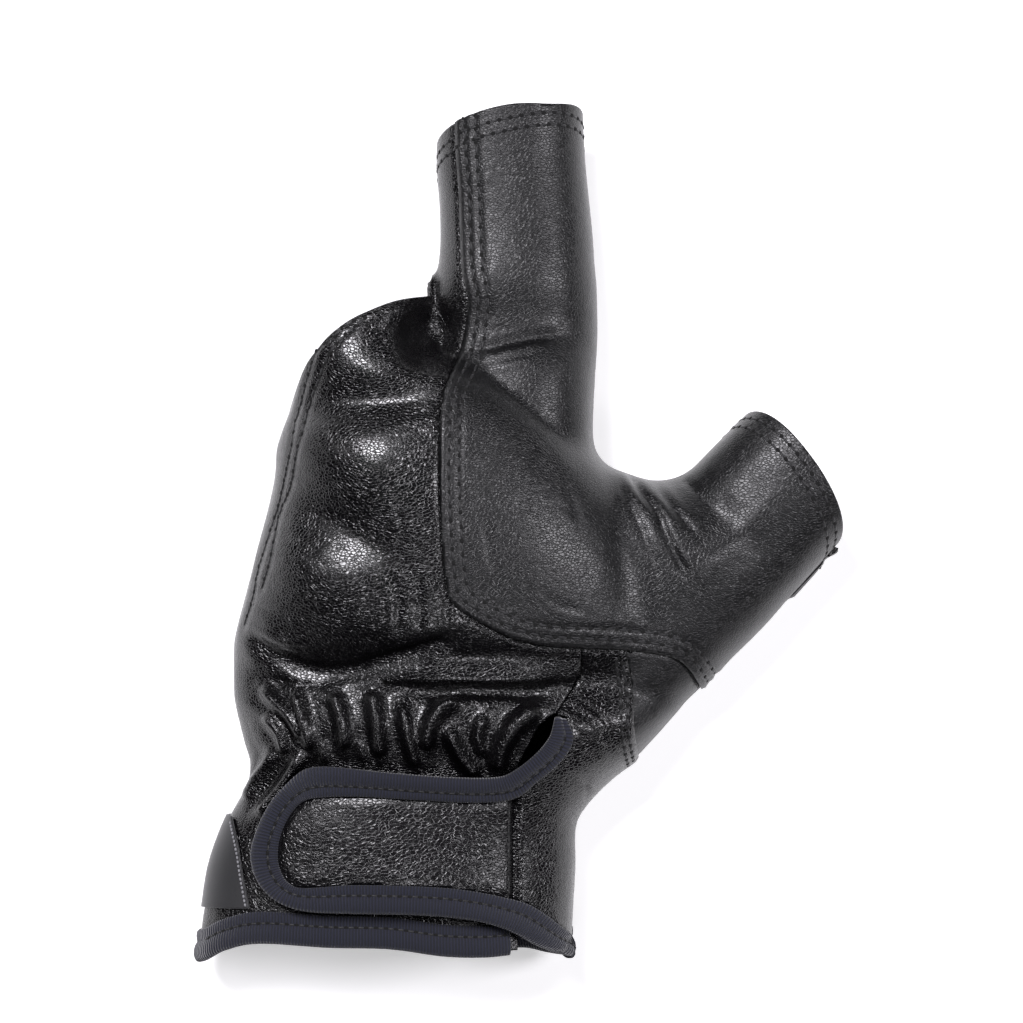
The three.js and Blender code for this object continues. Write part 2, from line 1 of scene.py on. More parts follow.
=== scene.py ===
# %% [markdown]
# # A leather bow glove
# The glove lies palm down, as if a hand still filled it. Its leather panels meet in sewn seams, so every
# panel here is cut from one smooth skin, as a glove maker cuts them from a hide and sews them back together.
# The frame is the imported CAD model. Each piece below takes the place of one or more of its nodes.

import math

import bmesh
import bpy
import numpy as np
from mathutils import Matrix, Vector
from mathutils.bvhtree import BVHTree


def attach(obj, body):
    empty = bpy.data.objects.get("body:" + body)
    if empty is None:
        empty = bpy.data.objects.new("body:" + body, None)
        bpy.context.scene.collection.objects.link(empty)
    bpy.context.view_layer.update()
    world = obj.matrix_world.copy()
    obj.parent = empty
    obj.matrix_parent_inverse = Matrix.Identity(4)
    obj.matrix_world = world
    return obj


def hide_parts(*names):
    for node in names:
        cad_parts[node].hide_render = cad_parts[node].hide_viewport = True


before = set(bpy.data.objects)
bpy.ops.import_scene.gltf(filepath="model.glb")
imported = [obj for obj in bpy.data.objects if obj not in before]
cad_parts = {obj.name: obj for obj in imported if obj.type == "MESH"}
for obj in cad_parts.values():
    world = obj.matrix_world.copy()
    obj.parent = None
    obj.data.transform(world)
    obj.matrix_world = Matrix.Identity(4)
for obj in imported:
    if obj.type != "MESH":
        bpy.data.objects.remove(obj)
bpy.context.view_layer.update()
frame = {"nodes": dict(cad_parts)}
MM = 0.001  # the leather is worked in millimetres and turned into metres when a piece is finished
print("nodes:", ", ".join(frame["nodes"]))

# %% [markdown]
# ## The shape of the hand
# A stuffed glove is a set of soft tubes. The tables give each tube's left and right edge and its highest
# point at places along it, and are the same as the CAD model's. A smooth curve through the rows gives the
# section anywhere. Lofting is chosen because the tables can be compared with the object row by row.

# %% Sections of the hand, the cuff and the two sleeves
PALM_LENGTH, PALM_WIDTH, PALM_DEPTH = 133, 84, 38
WRIST_WIDTH, WRIST_DEPTH = 75, 30
KNUCKLE_AT, INDEX_LENGTH, INDEX_WIDTH, INDEX_DEPTH = 26, 60, 31, 26
THUMB_ROOT, THUMB_HEADING = np.array([24.7, -18.5]), math.radians(43.5)
THUMB_LENGTH, THUMB_WIDTH, THUMB_DEPTH = 48, 33, 27
LEATHER, SEAM_HEIGHT, REST_DEPTH = 1.2, 13, 2
PAD_THICKNESS, PAD_GAP = 0.9, 0.45
STRAP_LIFT = LEATHER + 2 * PAD_THICKNESS + 3 * PAD_GAP

HAND = [
    (0.386, -0.539, -0.200, 0.711), (0.350, -0.544, -0.195, 0.789), (0.314, -0.549, -0.192, 0.829),
    (0.290, -0.549, -0.185, 0.852), (0.265, -0.548, -0.145, 0.876), (0.229, -0.544, 0.000, 0.921),
    (0.184, -0.539, 0.100, 0.961), (0.124, -0.561, 0.185, 0.987), (0.049, -0.587, 0.275, 1.000),
    (-0.026, -0.615, 0.330, 1.000), (-0.102, -0.649, 0.370, 0.974), (-0.162, -0.673, 0.399, 0.908),
    (-0.198, -0.675, 0.413, 0.815), (-0.222, -0.675, 0.413, 0.762), (-0.252, -0.673, 0.406, 0.806),
]
CUFF = [
    (-0.288, -0.740, 0.404, 1.067, 0.35), (-0.318, -0.727, 0.356, 1.033, 0.7),
    (-0.348, -0.711, 0.305, 0.967, 1), (-0.378, -0.719, 0.244, 0.917, 1),
    (-0.408, -0.748, 0.193, 0.900, 1), (-0.438, -0.777, 0.161, 0.900, 1),
    (-0.498, -0.815, 0.159, 0.900, 1), (-0.559, -0.833, 0.153, 0.917, 1),
    (-0.619, -0.847, 0.148, 0.933, 1), (-0.665, -0.847, 0.145, 0.933, 1),
]
INDEX = [
    (-0.258, -0.484, 0.484, 1.154), (-0.005, -0.468, 0.503, 1.135), (0.128, -0.500, 0.516, 1.096),
    (0.195, -0.526, 0.523, 1.023), (0.262, -0.542, 0.526, 1.000), (0.328, -0.542, 0.523, 1.023),
    (0.395, -0.532, 0.519, 1.038), (0.462, -0.506, 0.506, 1.031), (0.542, -0.494, 0.497, 1.012),
    (0.662, -0.500, 0.474, 0.992), (0.795, -0.519, 0.448, 0.977), (0.928, -0.516, 0.435, 0.969),
    (1.075, -0.516, 0.435, 0.962),
]
THUMB = [
    (-0.36, -0.46, 0.50, 0.93), (-0.10, -0.62, 0.53, 1.00), (0.15, -0.80, 0.53, 1.06),
    (0.30, -0.84, 0.53, 1.06), (0.39, -0.76, 0.525, 1.04), (0.43, -0.62, 0.52, 1.02),
    (0.49, -0.53, 0.51, 1.00), (0.58, -0.475, 0.50, 0.98), (0.71, -0.475, 0.485, 0.98),
    (0.88, -0.485, 0.465, 0.98), (1.10, -0.485, 0.455, 0.97),
]


def in_mm(rows, start, length, width, depth):
    """Rows of at, left, right, high and lift in millimetres, ordered along the tube."""
    full = [(start + r[0] * length, r[1] * width, r[2] * width, r[3] * depth, r[4] if len(r) > 4 else 0) for r in rows]
    return np.array(sorted(full))


hand_rows = np.vstack([
    in_mm(CUFF, 0, PALM_LENGTH, WRIST_WIDTH, WRIST_DEPTH),
    in_mm(HAND, 0, PALM_LENGTH, PALM_WIDTH, PALM_DEPTH),
])
index_rows = in_mm(INDEX, KNUCKLE_AT, INDEX_LENGTH, INDEX_WIDTH, INDEX_DEPTH)
thumb_rows = in_mm(THUMB, 0, THUMB_LENGTH, THUMB_WIDTH, THUMB_DEPTH)


def read(rows, column, at):
    """One column of a table anywhere along the tube, on a smooth curve through its rows."""
    at = np.asarray(at, float)
    x, y = rows[:, 0], rows[:, column]
    i = np.clip(np.searchsorted(x, at) - 1, 0, len(x) - 2)
    before, after = np.maximum(i - 1, 0), np.minimum(i + 2, len(x) - 1)
    span = x[i + 1] - x[i]
    slope_a = (y[i + 1] - y[before]) / (x[i + 1] - x[before]) * span
    slope_b = (y[after] - y[i]) / (x[after] - x[i]) * span
    t = np.clip((at - x[i]) / span, 0, 1)
    return (
        (2 * t**3 - 3 * t**2 + 1) * y[i] + (t**3 - 2 * t**2 + t) * slope_a
        + (3 * t**2 - 2 * t**3) * y[i + 1] + (t**3 - t**2) * slope_b
    )


print("the hand is", round(float(read(hand_rows, 3, 0.0)), 1), "mm high at its middle")

# %% Places on the hand, the cuff, the finger and the thumb
def on_hand(u, v):
    return np.array([u * PALM_WIDTH, v * PALM_LENGTH])


def on_cuff(u, v):
    return np.array([u * WRIST_WIDTH, v * PALM_LENGTH])


def on_index(u, v):
    return np.array([u * INDEX_WIDTH, KNUCKLE_AT + v * INDEX_LENGTH])


def on_thumb(u, v):
    """u runs to the thumb's left and v along it, as seen from above."""
    c, s = math.cos(THUMB_HEADING), math.sin(THUMB_HEADING)
    along, left = v * THUMB_LENGTH, -u * THUMB_WIDTH
    return THUMB_ROOT + np.array([along * c - left * s, along * s + left * c])


# %% Loft a tube through its sections
def section(rows, at, turn, rise=0.0, proud=0.0):
    """Across and height of the tube's surface. turn runs from 0 to 1 over the arch and on to 2 under the palm."""
    left, right = read(rows, 1, at) - proud, read(rows, 2, at) + proud
    high = read(rows, 3, at) + rise * read(rows, 4, at) + proud
    upper = turn < 1
    power = 2 / np.where(upper, 2.3, 2.6)
    cos, sin = np.cos(math.pi * turn), np.sin(math.pi * turn)
    across = (left + right) / 2 + (right - left) / 2 * np.sign(cos) * np.abs(cos) ** power
    share = np.abs(sin) ** power
    under = np.maximum(SEAM_HEIGHT - (SEAM_HEIGHT + REST_DEPTH + proud) * share, -proud)
    return across, np.where(upper, SEAM_HEIGHT + (high - SEAM_HEIGHT) * share, under)


def loft(rows, step, place, rise=0.0, around=120):
    """A closed tube: a circle is extruded from ring to ring, and each ring is laid on its section."""
    bm = bmesh.new()
    turn = bm.verts.layers.float.new("turn")
    bmesh.ops.create_circle(bm, segments=around, radius=1)
    bm.verts.ensure_lookup_table()
    for i, vert in enumerate(bm.verts):
        vert[turn] = 2 * i / around
    ring = list(bm.edges)
    stations = np.linspace(rows[0, 0], rows[-1, 0], int((rows[-1, 0] - rows[0, 0]) / step) + 1)
    for number, at in enumerate(stations):
        if number:
            made = bmesh.ops.extrude_edge_only(bm, edges=ring)["geom"]
            ring = [e for e in made if isinstance(e, bmesh.types.BMEdge) and len(e.link_faces) == 1]
        verts = list({v for e in ring for v in e.verts})
        across, height = section(rows, at, np.array([v[turn] for v in verts]), rise)
        for vert, x, z in zip(verts, across, height):
            vert.co = (*place(x, at), z)
    bmesh.ops.holes_fill(bm, edges=[e for e in bm.edges if e.is_boundary], sides=0)
    bmesh.ops.recalc_face_normals(bm, faces=bm.faces)
    return bm


def plain(x, y):
    return x, y


def thumb_place(x, y):
    return tuple(on_thumb(x / THUMB_WIDTH, y / THUMB_LENGTH))


# %% [markdown]
# ## Pattern lines
# A glove's panels are cut along smooth lines. The same lines as in the CAD model are repeated here, seen
# from above. A signed distance to an outline says how far inside it a place lies, and the mesh is cut where
# that distance is nought, so that the edges of the panels are as smooth as the lines.

# %% The lines
def spline(points, count):
    """A smooth line through a few places."""
    points = np.asarray(points, float)
    last = len(points) - 1
    line = []
    for step in np.linspace(0, last, count + 1):
        i = min(int(step), last - 1)
        t = step - i
        p = [points[j] for j in (max(i - 1, 0), i, i + 1, min(i + 2, last))]
        line.append(
            0.5 * (2 * p[1] + (p[2] - p[0]) * t + (2 * p[0] - 5 * p[1] + 4 * p[2] - p[3]) * t**2
                   + (3 * p[1] - p[0] - 3 * p[2] + p[3]) * t**3)
        )
    return np.array(line)


grip_edge = spline([
    on_index(-0.40, 1.15), on_index(-0.385, 0.84), on_index(-0.365, 0.69), on_index(-0.345, 0.435),
    on_index(-0.307, 0.33), on_hand(-0.132, 0.27), on_hand(-0.173, 0.202), on_hand(-0.181, 0.107),
    on_hand(-0.177, 0.011), on_hand(-0.165, -0.074), on_hand(-0.143, -0.108), on_hand(-0.044, -0.147),
    on_hand(0.046, -0.166), on_hand(0.152, -0.171), on_hand(0.258, -0.175), on_thumb(0.295, 0.014),
    on_thumb(0.536, 0.001), on_thumb(0.696, -0.041),
], 102)


def nearest(line, place):
    return int(np.argmin(np.hypot(*(line - place).T)))


crotch_at = nearest(grip_edge, on_hand(-0.127, 0.265))
vent_seam_at = nearest(grip_edge, on_hand(0.160, -0.171))
heel_seam_at = nearest(grip_edge, on_hand(0.262, -0.176))
crotch_seam = np.array([grip_edge[crotch_at], on_hand(-0.204, 0.354), on_hand(-0.325, 0.44)])
finger_hem = spline([
    on_hand(-0.202, 0.355), on_hand(-0.280, 0.347), on_hand(-0.344, 0.332), on_hand(-0.404, 0.313),
    on_hand(-0.458, 0.284), on_hand(-0.496, 0.253), on_hand(-0.518, 0.223), on_hand(-0.540, 0.186),
    on_hand(-0.575, 0.130),
], 48)
cuff_hem = spline([
    on_cuff(-0.98, -0.645), on_cuff(-0.86, -0.646), on_cuff(-0.777, -0.624), on_cuff(-0.681, -0.612),
    on_cuff(-0.497, -0.617), on_cuff(-0.337, -0.619), on_cuff(-0.193, -0.630), on_cuff(-0.081, -0.632),
    on_cuff(0.02, -0.628), on_cuff(0.11, -0.636), on_cuff(0.30, -0.640),
], 60)
binding_outer = spline([
    on_cuff(0.200, -0.648), on_cuff(0.151, -0.638), on_cuff(0.063, -0.619), on_cuff(0.007, -0.601),
    on_cuff(-0.049, -0.587), on_cuff(-0.129, -0.576), on_cuff(-0.257, -0.569), on_cuff(-0.417, -0.567),
    on_cuff(-0.537, -0.565), on_cuff(-0.601, -0.558), on_cuff(-0.649, -0.544), on_cuff(-0.681, -0.524),
    on_cuff(-0.699, -0.501), on_cuff(-0.703, -0.474), on_cuff(-0.683, -0.438), on_cuff(-0.649, -0.402),
    on_cuff(-0.601, -0.371), on_cuff(-0.561, -0.353), on_cuff(-0.513, -0.348), on_cuff(-0.449, -0.350),
    on_cuff(-0.337, -0.357), on_cuff(-0.177, -0.364), on_cuff(-0.052, -0.365), on_cuff(0.000, -0.354),
    on_cuff(0.053, -0.330), on_cuff(0.085, -0.307), on_cuff(0.096, -0.290), on_cuff(0.100, -0.275),
], 216)
binding_inner = spline([
    on_cuff(0.200, -0.620), on_cuff(0.151, -0.605), on_cuff(0.063, -0.565), on_cuff(-0.009, -0.547),
    on_cuff(-0.177, -0.529), on_cuff(-0.417, -0.524), on_cuff(-0.561, -0.529), on_cuff(-0.604, -0.521),
    on_cuff(-0.624, -0.505), on_cuff(-0.633, -0.485), on_cuff(-0.628, -0.455), on_cuff(-0.604, -0.423),
    on_cuff(-0.569, -0.402), on_cuff(-0.521, -0.395), on_cuff(-0.417, -0.393), on_cuff(-0.257, -0.398),
    on_cuff(-0.097, -0.402), on_cuff(-0.001, -0.395), on_cuff(0.054, -0.371), on_cuff(0.104, -0.348),
    on_cuff(0.140, -0.323), on_cuff(0.150, -0.302), on_cuff(0.131, -0.277),
], 176)
strap_seam_x = on_cuff(-0.004, 0)[0]
vent_seam = spline([grip_edge[vent_seam_at], on_hand(0.148, -0.205), on_hand(0.130, -0.232), on_cuff(0.103, -0.268)], 12)
heel_seam = spline([
    grip_edge[heel_seam_at], on_hand(0.274, -0.235), on_hand(0.276, -0.286), on_hand(0.286, -0.328),
    on_hand(0.300, -0.360),
], 16)
vent_edge = np.array([on_cuff(0.080, -0.276), on_cuff(0.055, -0.290), on_cuff(0.005, -0.345), on_cuff(0.003, -0.402)])
label_edge = spline([on_cuff(-0.753, -0.427), on_cuff(-0.733, -0.474), on_cuff(-0.721, -0.515), on_cuff(-0.705, -0.563)], 12)
print("the grip panel's edge is", round(float(np.hypot(*np.diff(grip_edge, axis=0).T).sum())), "mm long")

# %% Distances to the lines
def to_line(points, line):
    """Distance of places to a line on the table, and how far along the line the nearest point lies."""
    line = np.asarray(line, float)
    best, along, start = np.full(len(points), 1e9), np.zeros(len(points)), 0.0
    for a, b in zip(line[:-1], line[1:]):
        run = b - a
        length = math.hypot(*run)
        t = np.clip((points - a) @ run / length**2, 0, 1)
        away = np.hypot(*(points - a - t[:, None] * run).T)
        closer = away < best
        best = np.where(closer, away, best)
        along = np.where(closer, start + t * length, along)
        start += length
    return best, along


FAR = 2 * PALM_LENGTH


def out(x, y):
    return np.array([[x * FAR, y * FAR]])


def outline(*parts):
    return np.vstack([np.atleast_2d(part) for part in parts])


def within(line, margin=0.0):
    """How far inside a closed outline a point lies, as a function of points. margin widens the outline."""
    ring = np.vstack([line, line[:1]])

    def measure(points):
        away, _ = to_line(points[:, :2], ring)
        x, y = points[:, 0], points[:, 1]
        odd = np.zeros(len(points), bool)
        for (x0, y0), (x1, y1) in zip(ring[:-1], ring[1:]):
            if y0 != y1:
                odd ^= ((y0 > y) != (y1 > y)) & (x < (x1 - x0) * (y - y0) / (y1 - y0) + x0)
        return np.where(odd, away, -away) + margin

    return measure


def beside(line, distance):
    """The line moved to its left."""
    ahead, behind = np.vstack([line[1:], line[-1:]]), np.vstack([line[:1], line[:-1]])
    run = ahead - behind
    run /= np.hypot(*run.T)[:, None]
    return line + distance * np.stack([-run[:, 1], run[:, 0]], 1)


def beyond_rim(centre, heading, slope, skew):
    """How far behind the plane of a sleeve's rim a point lies."""
    c, s = math.cos(heading), math.sin(heading)
    along, right = np.array([c, s, 0]), np.array([s, -c, 0])
    normal = along - skew * right + np.array([0, 0, -slope])
    normal /= np.linalg.norm(normal)
    origin = np.array([*centre, SEAM_HEIGHT])
    return lambda points, back=0.0: -(points - origin) @ normal - back


index_plane = beyond_rim(on_index(0, 0.905), math.pi / 2, 0.44, 0.217)
thumb_plane = beyond_rim(on_thumb(0, 0.865), THUMB_HEADING, 0.45, -0.144)


def index_rim(p):
    """The finger's rim is nearly straight across its top, a little behind its plane."""
    return index_plane(p) - 1.0 * np.exp(-(((p[:, 0] - 7) / 6) ** 2)) * (p[:, 2] > SEAM_HEIGHT)


def thumb_rim(p):
    """The rim's plane cuts the thumb alone, not the finger beside it."""
    return np.where(p[:, 0] > 25, thumb_plane(p), 9)


grip_area = outline(grip_edge, out(1, -0.2), out(1, 1), [grip_edge[0][0], FAR])
index_side_area = outline(grip_edge[:crotch_at], crotch_seam, out(-0.3, 0.6), [grip_edge[0][0], FAR])
back_area = outline(
    crotch_seam[::-1], grip_edge[crotch_at + 1 : vent_seam_at], vent_seam, vent_edge,
    [vent_edge[3][0], -FAR], out(-1, -1), out(-1, 0.6),
)
strap_area = outline(
    binding_inner, on_cuff(0.136, -0.273), vent_seam[::-1], grip_edge[vent_seam_at + 1 : heel_seam_at],
    heel_seam, out(0.3, -0.2), out(0.3, -0.35),
)
heel_area = outline(grip_edge[heel_seam_at + 1 :], out(0.25, -0.2), out(0.095, -0.25), heel_seam[::-1])
fingers_area = outline(finger_hem, [-FAR, finger_hem[-1][1]], out(-1, 1), [finger_hem[0][0], FAR])
cuff_area = outline(cuff_hem, out(1, -0.3), out(1, -1), out(-1, -1), out(-1, -0.3))

def not_in(area, margin=0.0):
    measure = within(area)
    return lambda p: -measure(p) - margin


# %% Cut a mesh along a line
def cut(bm, measure, slack=0.03):
    """Keeps what is inside, with the faces split where the distance is nought."""
    side = bm.verts.layers.float.get("side") or bm.verts.layers.float.new("side")
    value = measure(np.array([v.co for v in bm.verts]))
    for vert, amount in zip(bm.verts, np.where(np.abs(value) < slack, 0, value)):
        vert[side] = amount
    bmesh.ops.delete(bm, geom=[v for v in bm.verts if v[side] < -4], context="VERTS")
    mixed = [f for f in bm.faces if min(v[side] for v in f.verts) < 0 < max(v[side] for v in f.verts)]
    mixed = bmesh.ops.triangulate(bm, faces=mixed)["faces"]
    for edge in {e for f in mixed for e in f.edges}:
        a, b = edge.verts
        if a[side] * b[side] < 0:
            share = a[side] / (a[side] - b[side])
            bmesh.utils.edge_split(edge, a, share)[1][side] = 0
    for face in mixed:
        on = [v for v in face.verts if v[side] == 0]
        if len(on) == 2 and not any(set(e.verts) == set(on) for e in face.edges):
            bmesh.utils.face_split(face, on[0], on[1])
    bmesh.ops.delete(bm, geom=[v for v in bm.verts if v[side] < 0], context="VERTS")


# %% [markdown]
# ## One smooth skin
# The tubes run into one another at the root of the finger and of the thumb. A voxel remesh joins them into
# one even mesh of small squares, and relaxing it turns the sharp corners at the roots into soft webs. An
# even mesh also takes creases anywhere, which a lofted tube with rows along it does not.

# %% Join the tubes into one skin
def remeshed(tubes, voxel):
    """Vertices, edges and faces of one skin round all the tubes."""
    joined = bpy.data.meshes.new("tubes")
    whole = bmesh.new()
    for tube in tubes:
        tube.to_mesh(joined)
        whole.from_mesh(joined)
        tube.free()
    whole.to_mesh(joined)
    whole.free()
    carrier = bpy.data.objects.new("tubes", joined)
    bpy.context.scene.collection.objects.link(carrier)
    remesh = carrier.modifiers.new("remesh", "REMESH")
    remesh.mode, remesh.voxel_size, remesh.use_smooth_shade = "VOXEL", voxel, True
    bpy.context.view_layer.update()
    skin = bpy.data.meshes.new_from_object(carrier.evaluated_get(bpy.context.evaluated_depsgraph_get()))
    bpy.data.objects.remove(carrier)
    return skin


def places(mesh):
    flat = np.empty(len(mesh.vertices) * 3)
    mesh.vertices.foreach_get("co", flat)
    return flat.reshape(-1, 3)


def put(mesh, points):
    mesh.vertices.foreach_set("co", points.ravel())
    mesh.update()


def relax(mesh, weight, times):
    """Moves each point towards the middle of its neighbours, by its weight."""
    pairs = np.empty(len(mesh.edges) * 2, int)
    mesh.edges.foreach_get("vertices", pairs)
    a, b = pairs.reshape(-1, 2).T
    points = places(mesh)
    count = np.bincount(np.concatenate([a, b]), minlength=len(points))
    for _ in range(times):
        middle = np.stack([
            np.bincount(a, points[b, axis], len(points)) + np.bincount(b, points[a, axis], len(points))
            for axis in range(3)
        ], 1) / count[:, None]
        points += weight[:, None] * (middle - points)
    put(mesh, points)


VOXEL = 0.68
body_tube = loft(hand_rows, 1.2, plain)
cut(body_tube, not_in(fingers_area, -1.6))
bmesh.ops.holes_fill(body_tube, edges=[e for e in body_tube.edges if e.is_boundary], sides=0)
bmesh.ops.recalc_face_normals(body_tube, faces=body_tube.faces)
hand_skin = remeshed([body_tube, loft(index_rows, 1.2, plain), loft(thumb_rows, 1.2, thumb_place)], VOXEL)
cuff_rows = hand_rows[hand_rows[:, 0] < 2]
strap_skin = remeshed([loft(cuff_rows, 1.2, plain, STRAP_LIFT), loft(thumb_rows, 1.2, thumb_place)], VOXEL)
for skin in (hand_skin, strap_skin):
    relax(skin, np.full(len(skin.vertices), 0.5), 6)
    print("skin of", len(skin.vertices), "points")

# %% Soften the webs where the sleeves leave the hand
def near(points, centre, radius):
    """1 at a place, fading to 0 over a radius."""
    away = np.linalg.norm(points[:, : len(centre)] - np.array(centre), axis=1) / radius
    return np.clip(1 - away**2, 0, 1)


def near_line(points, line, radius):
    return np.clip(1 - (to_line(points[:, :2], line)[0] / radius) ** 2, 0, 1)


WEBS = [
    [(-12.9, 40.5), (-13.7, 30.5), (-13.3, 21.5)],
    [(16.7, 26.5), (17.9, 18.5), (21.1, 13.3), (26.7, 11.3)],
    [(24.7, 10.5), (26.7, 2.5), (24.7, -13.5), (20.7, -21.5)],
]
for skin in (hand_skin, strap_skin):
    points = places(skin)
    relax(skin, 0.5 * np.max([near_line(points, web, 9) for web in WEBS], axis=0), 60)

# %% [markdown]
# ## Creases and gathers
# Leather that has been worn keeps the shape of the hand: it bulges over the knuckles, folds at the joints
# and crumples where elastic draws the wrist in. Each such form is a small rule here, a mound or a ridge
# along a line, and they are added up and pushed out along the skin's normals. That keeps every crease in
# its own place, where a noise pattern would put them anywhere.

# %% Mounds, ridges and folds
def mound(points, centre, long, short, turn, height):
    """A soft bulge, long one way and short the other, turned from the X axis in degrees."""
    c, s = math.cos(math.radians(turn)), math.sin(math.radians(turn))
    dx, dy = points[:, 0] - centre[0], points[:, 1] - centre[1]
    return height * np.exp(-(((dx * c + dy * s) / long) ** 2) - ((dy * c - dx * s) / short) ** 2)


def ridge(points, line, width, height, ends=3.0, power=2.0):
    """A rounded ridge along a line, or a groove where height is negative, fading at its ends."""
    line = spline(line, 6 * (len(line) - 1))
    away, along = to_line(points[:, :2], line)
    length = np.hypot(*np.diff(line, axis=0).T).sum()
    fade = np.clip(np.minimum(along, length - along) / ends, 0, 1)
    return height * np.exp(-((away / width) ** power)) * (0.15 + 0.85 * fade * fade * (3 - 2 * fade))


def fold(points, line, width, depth, ends=4.0):
    """A crease: a narrow valley between two soft swells."""
    return ridge(points, line, 2.6 * width, 0.45 * depth, ends) - ridge(points, line, width, 1.25 * depth, ends)


GATHERS = [
    ([(-50.7, -30.3), (-47.9, -33.7), (-44.9, -36.7), (-41.9, -41.9)], 1.1, 1.5),
    ([(-50.9, -35.9), (-47.3, -39.9), (-46.3, -44.9)], 1.0, 1.2),
    ([(-43.9, -31.5), (-42.3, -37.3), (-40.7, -43.5)], 1.1, 1.6),
    ([(-36.5, -31.5), (-34.7, -36.7), (-33.9, -43.5)], 1.1, 1.6),
    ([(-28.7, -31.1), (-27.7, -37.5), (-26.9, -44.9)], 1.2, 1.7),
    ([(-38.9, -41.1), (-37.7, -46.7)], 0.8, 0.8),
    ([(-31.3, -40.7), (-30.1, -46.3)], 0.8, 0.8),
    ([(-22.9, -33.5), (-21.5, -40.5), (-19.7, -46.9)], 1.0, 1.3),
    ([(-10.9, -33.3), (-14.9, -35.1), (-17.3, -38.7), (-17.9, -43.5)], 1.2, 1.9),
    ([(-13.7, -38.3), (-11.3, -43.5), (-7.3, -48.5)], 1.2, 1.7),
    ([(-5.7, -35.9), (-7.7, -39.5), (-6.5, -45.1)], 1.0, 1.2),
    ([(4.3, -34.7), (-0.9, -38.7), (-3.5, -43.9), (-2.9, -47.5)], 1.5, 2.1),
    ([(-42.5, -43.1), (-44.9, -48.1), (-47.3, -52.1), (-51.7, -57.1)], 1.2, 1.7),
    ([(-48.3, -43.1), (-50.9, -47.9), (-54.9, -53.9)], 1.1, 1.3),
    ([(-52.9, -45.5), (-55.3, -50.5), (-56.9, -53.5)], 0.9, 1.0),
    ([(-45.3, -51.5), (-48.1, -55.9), (-50.9, -59.5)], 1.0, 1.0),
]
BACK_FOLDS = [
    ([(-54.1, -19.9), (-46.9, -25.1), (-39.5, -27.7), (-32.9, -27.5), (-26.9, -25.9), (-19.7, -23.5), (-12.3, -20.7)], 1.7, 1.4),
    ([(-49.7, -28.7), (-43.3, -30.3), (-35.3, -29.9)], 0.8, 0.5),
    ([(-20.5, -31.9), (-13.3, -31.3), (-3.3, -31.3), (7.1, -31.7)], 1.7, 1.5),
    ([(-52.9, -14.7), (-47.3, -15.9), (-40.1, -14.3)], 0.6, 0.3),
    ([(-53.3, -17.9), (-48.1, -19.5), (-41.7, -19.1)], 0.6, 0.3),
    ([(-50.9, -22.7), (-45.3, -22.7), (-40.1, -23.5)], 0.5, 0.25),
    ([(-24.9, -6.7), (-23.3, -13.5), (-23.7, -21.5)], 0.7, 0.28),
    ([(-20.5, -5.5), (-18.9, -13.5), (-19.3, -22.3)], 0.7, 0.3),
    ([(-16.1, -6.7), (-14.1, -13.5), (-13.7, -19.5)], 0.6, 0.25),
    ([(-23.3, 6.5), (-22.5, 0.5), (-23.3, -5.5)], 0.8, 0.2),
]
SLEEVE_FOLDS = [
    ([(-9.3, 36.1), (-5.3, 36.7), (-1.7, 37.9), (3.9, 38.9), (9.9, 39.3)], 1.3, 0.75),
    ([(-8.5, 38.9), (-3.3, 40.3), (2.7, 41.1)], 0.8, 0.2),
    ([(-8.1, 33.3), (-2.3, 34.5), (4.7, 36.1)], 0.8, 0.25),
    ([(21.9, 14.1), (24.7, 8.5), (27.9, 4.1), (30.3, -1.9), (34.5, -9.7)], 0.9, 0.8),
    ([(27.7, 10.1), (31.1, 5.1), (36.3, -1.3)], 0.8, 0.5),
    ([(31.9, 12.5), (35.7, 8.5), (39.9, 4.1)], 0.9, 0.35),
    ([(20.3, 10.5), (23.1, 4.5), (25.5, -1.5), (27.1, -7.5)], 0.8, 0.35),
    ([(-6.5, 3.3), (-5.7, -1.5), (-4.9, -5.9), (-3.3, -9.5)], 0.7, 0.25),
    ([(8.7, 10.5), (11.1, 6.5), (12.3, 0.5)], 1.0, 0.25),
    ([(4.7, -11.5), (8.7, -14.3), (14.7, -15.9)], 0.8, 0.2),
]
VENT_FOLDS = [
    ([(8.7, -33.5), (14.7, -37.1), (19.1, -43.9)], 0.6, 0.35),
    ([(10.7, -32.3), (17.1, -36.7), (20.5, -43.3)], 0.6, 0.35),
    ([(8.7, -36.7), (13.5, -40.7), (16.7, -46.3)], 0.6, 0.3),
    ([(11.1, -47.9), (14.1, -50.5), (17.5, -51.9)], 0.6, 0.3),
    ([(13.1, -47.5), (14.1, -50.5), (13.7, -54.3)], 0.6, 0.25),
]


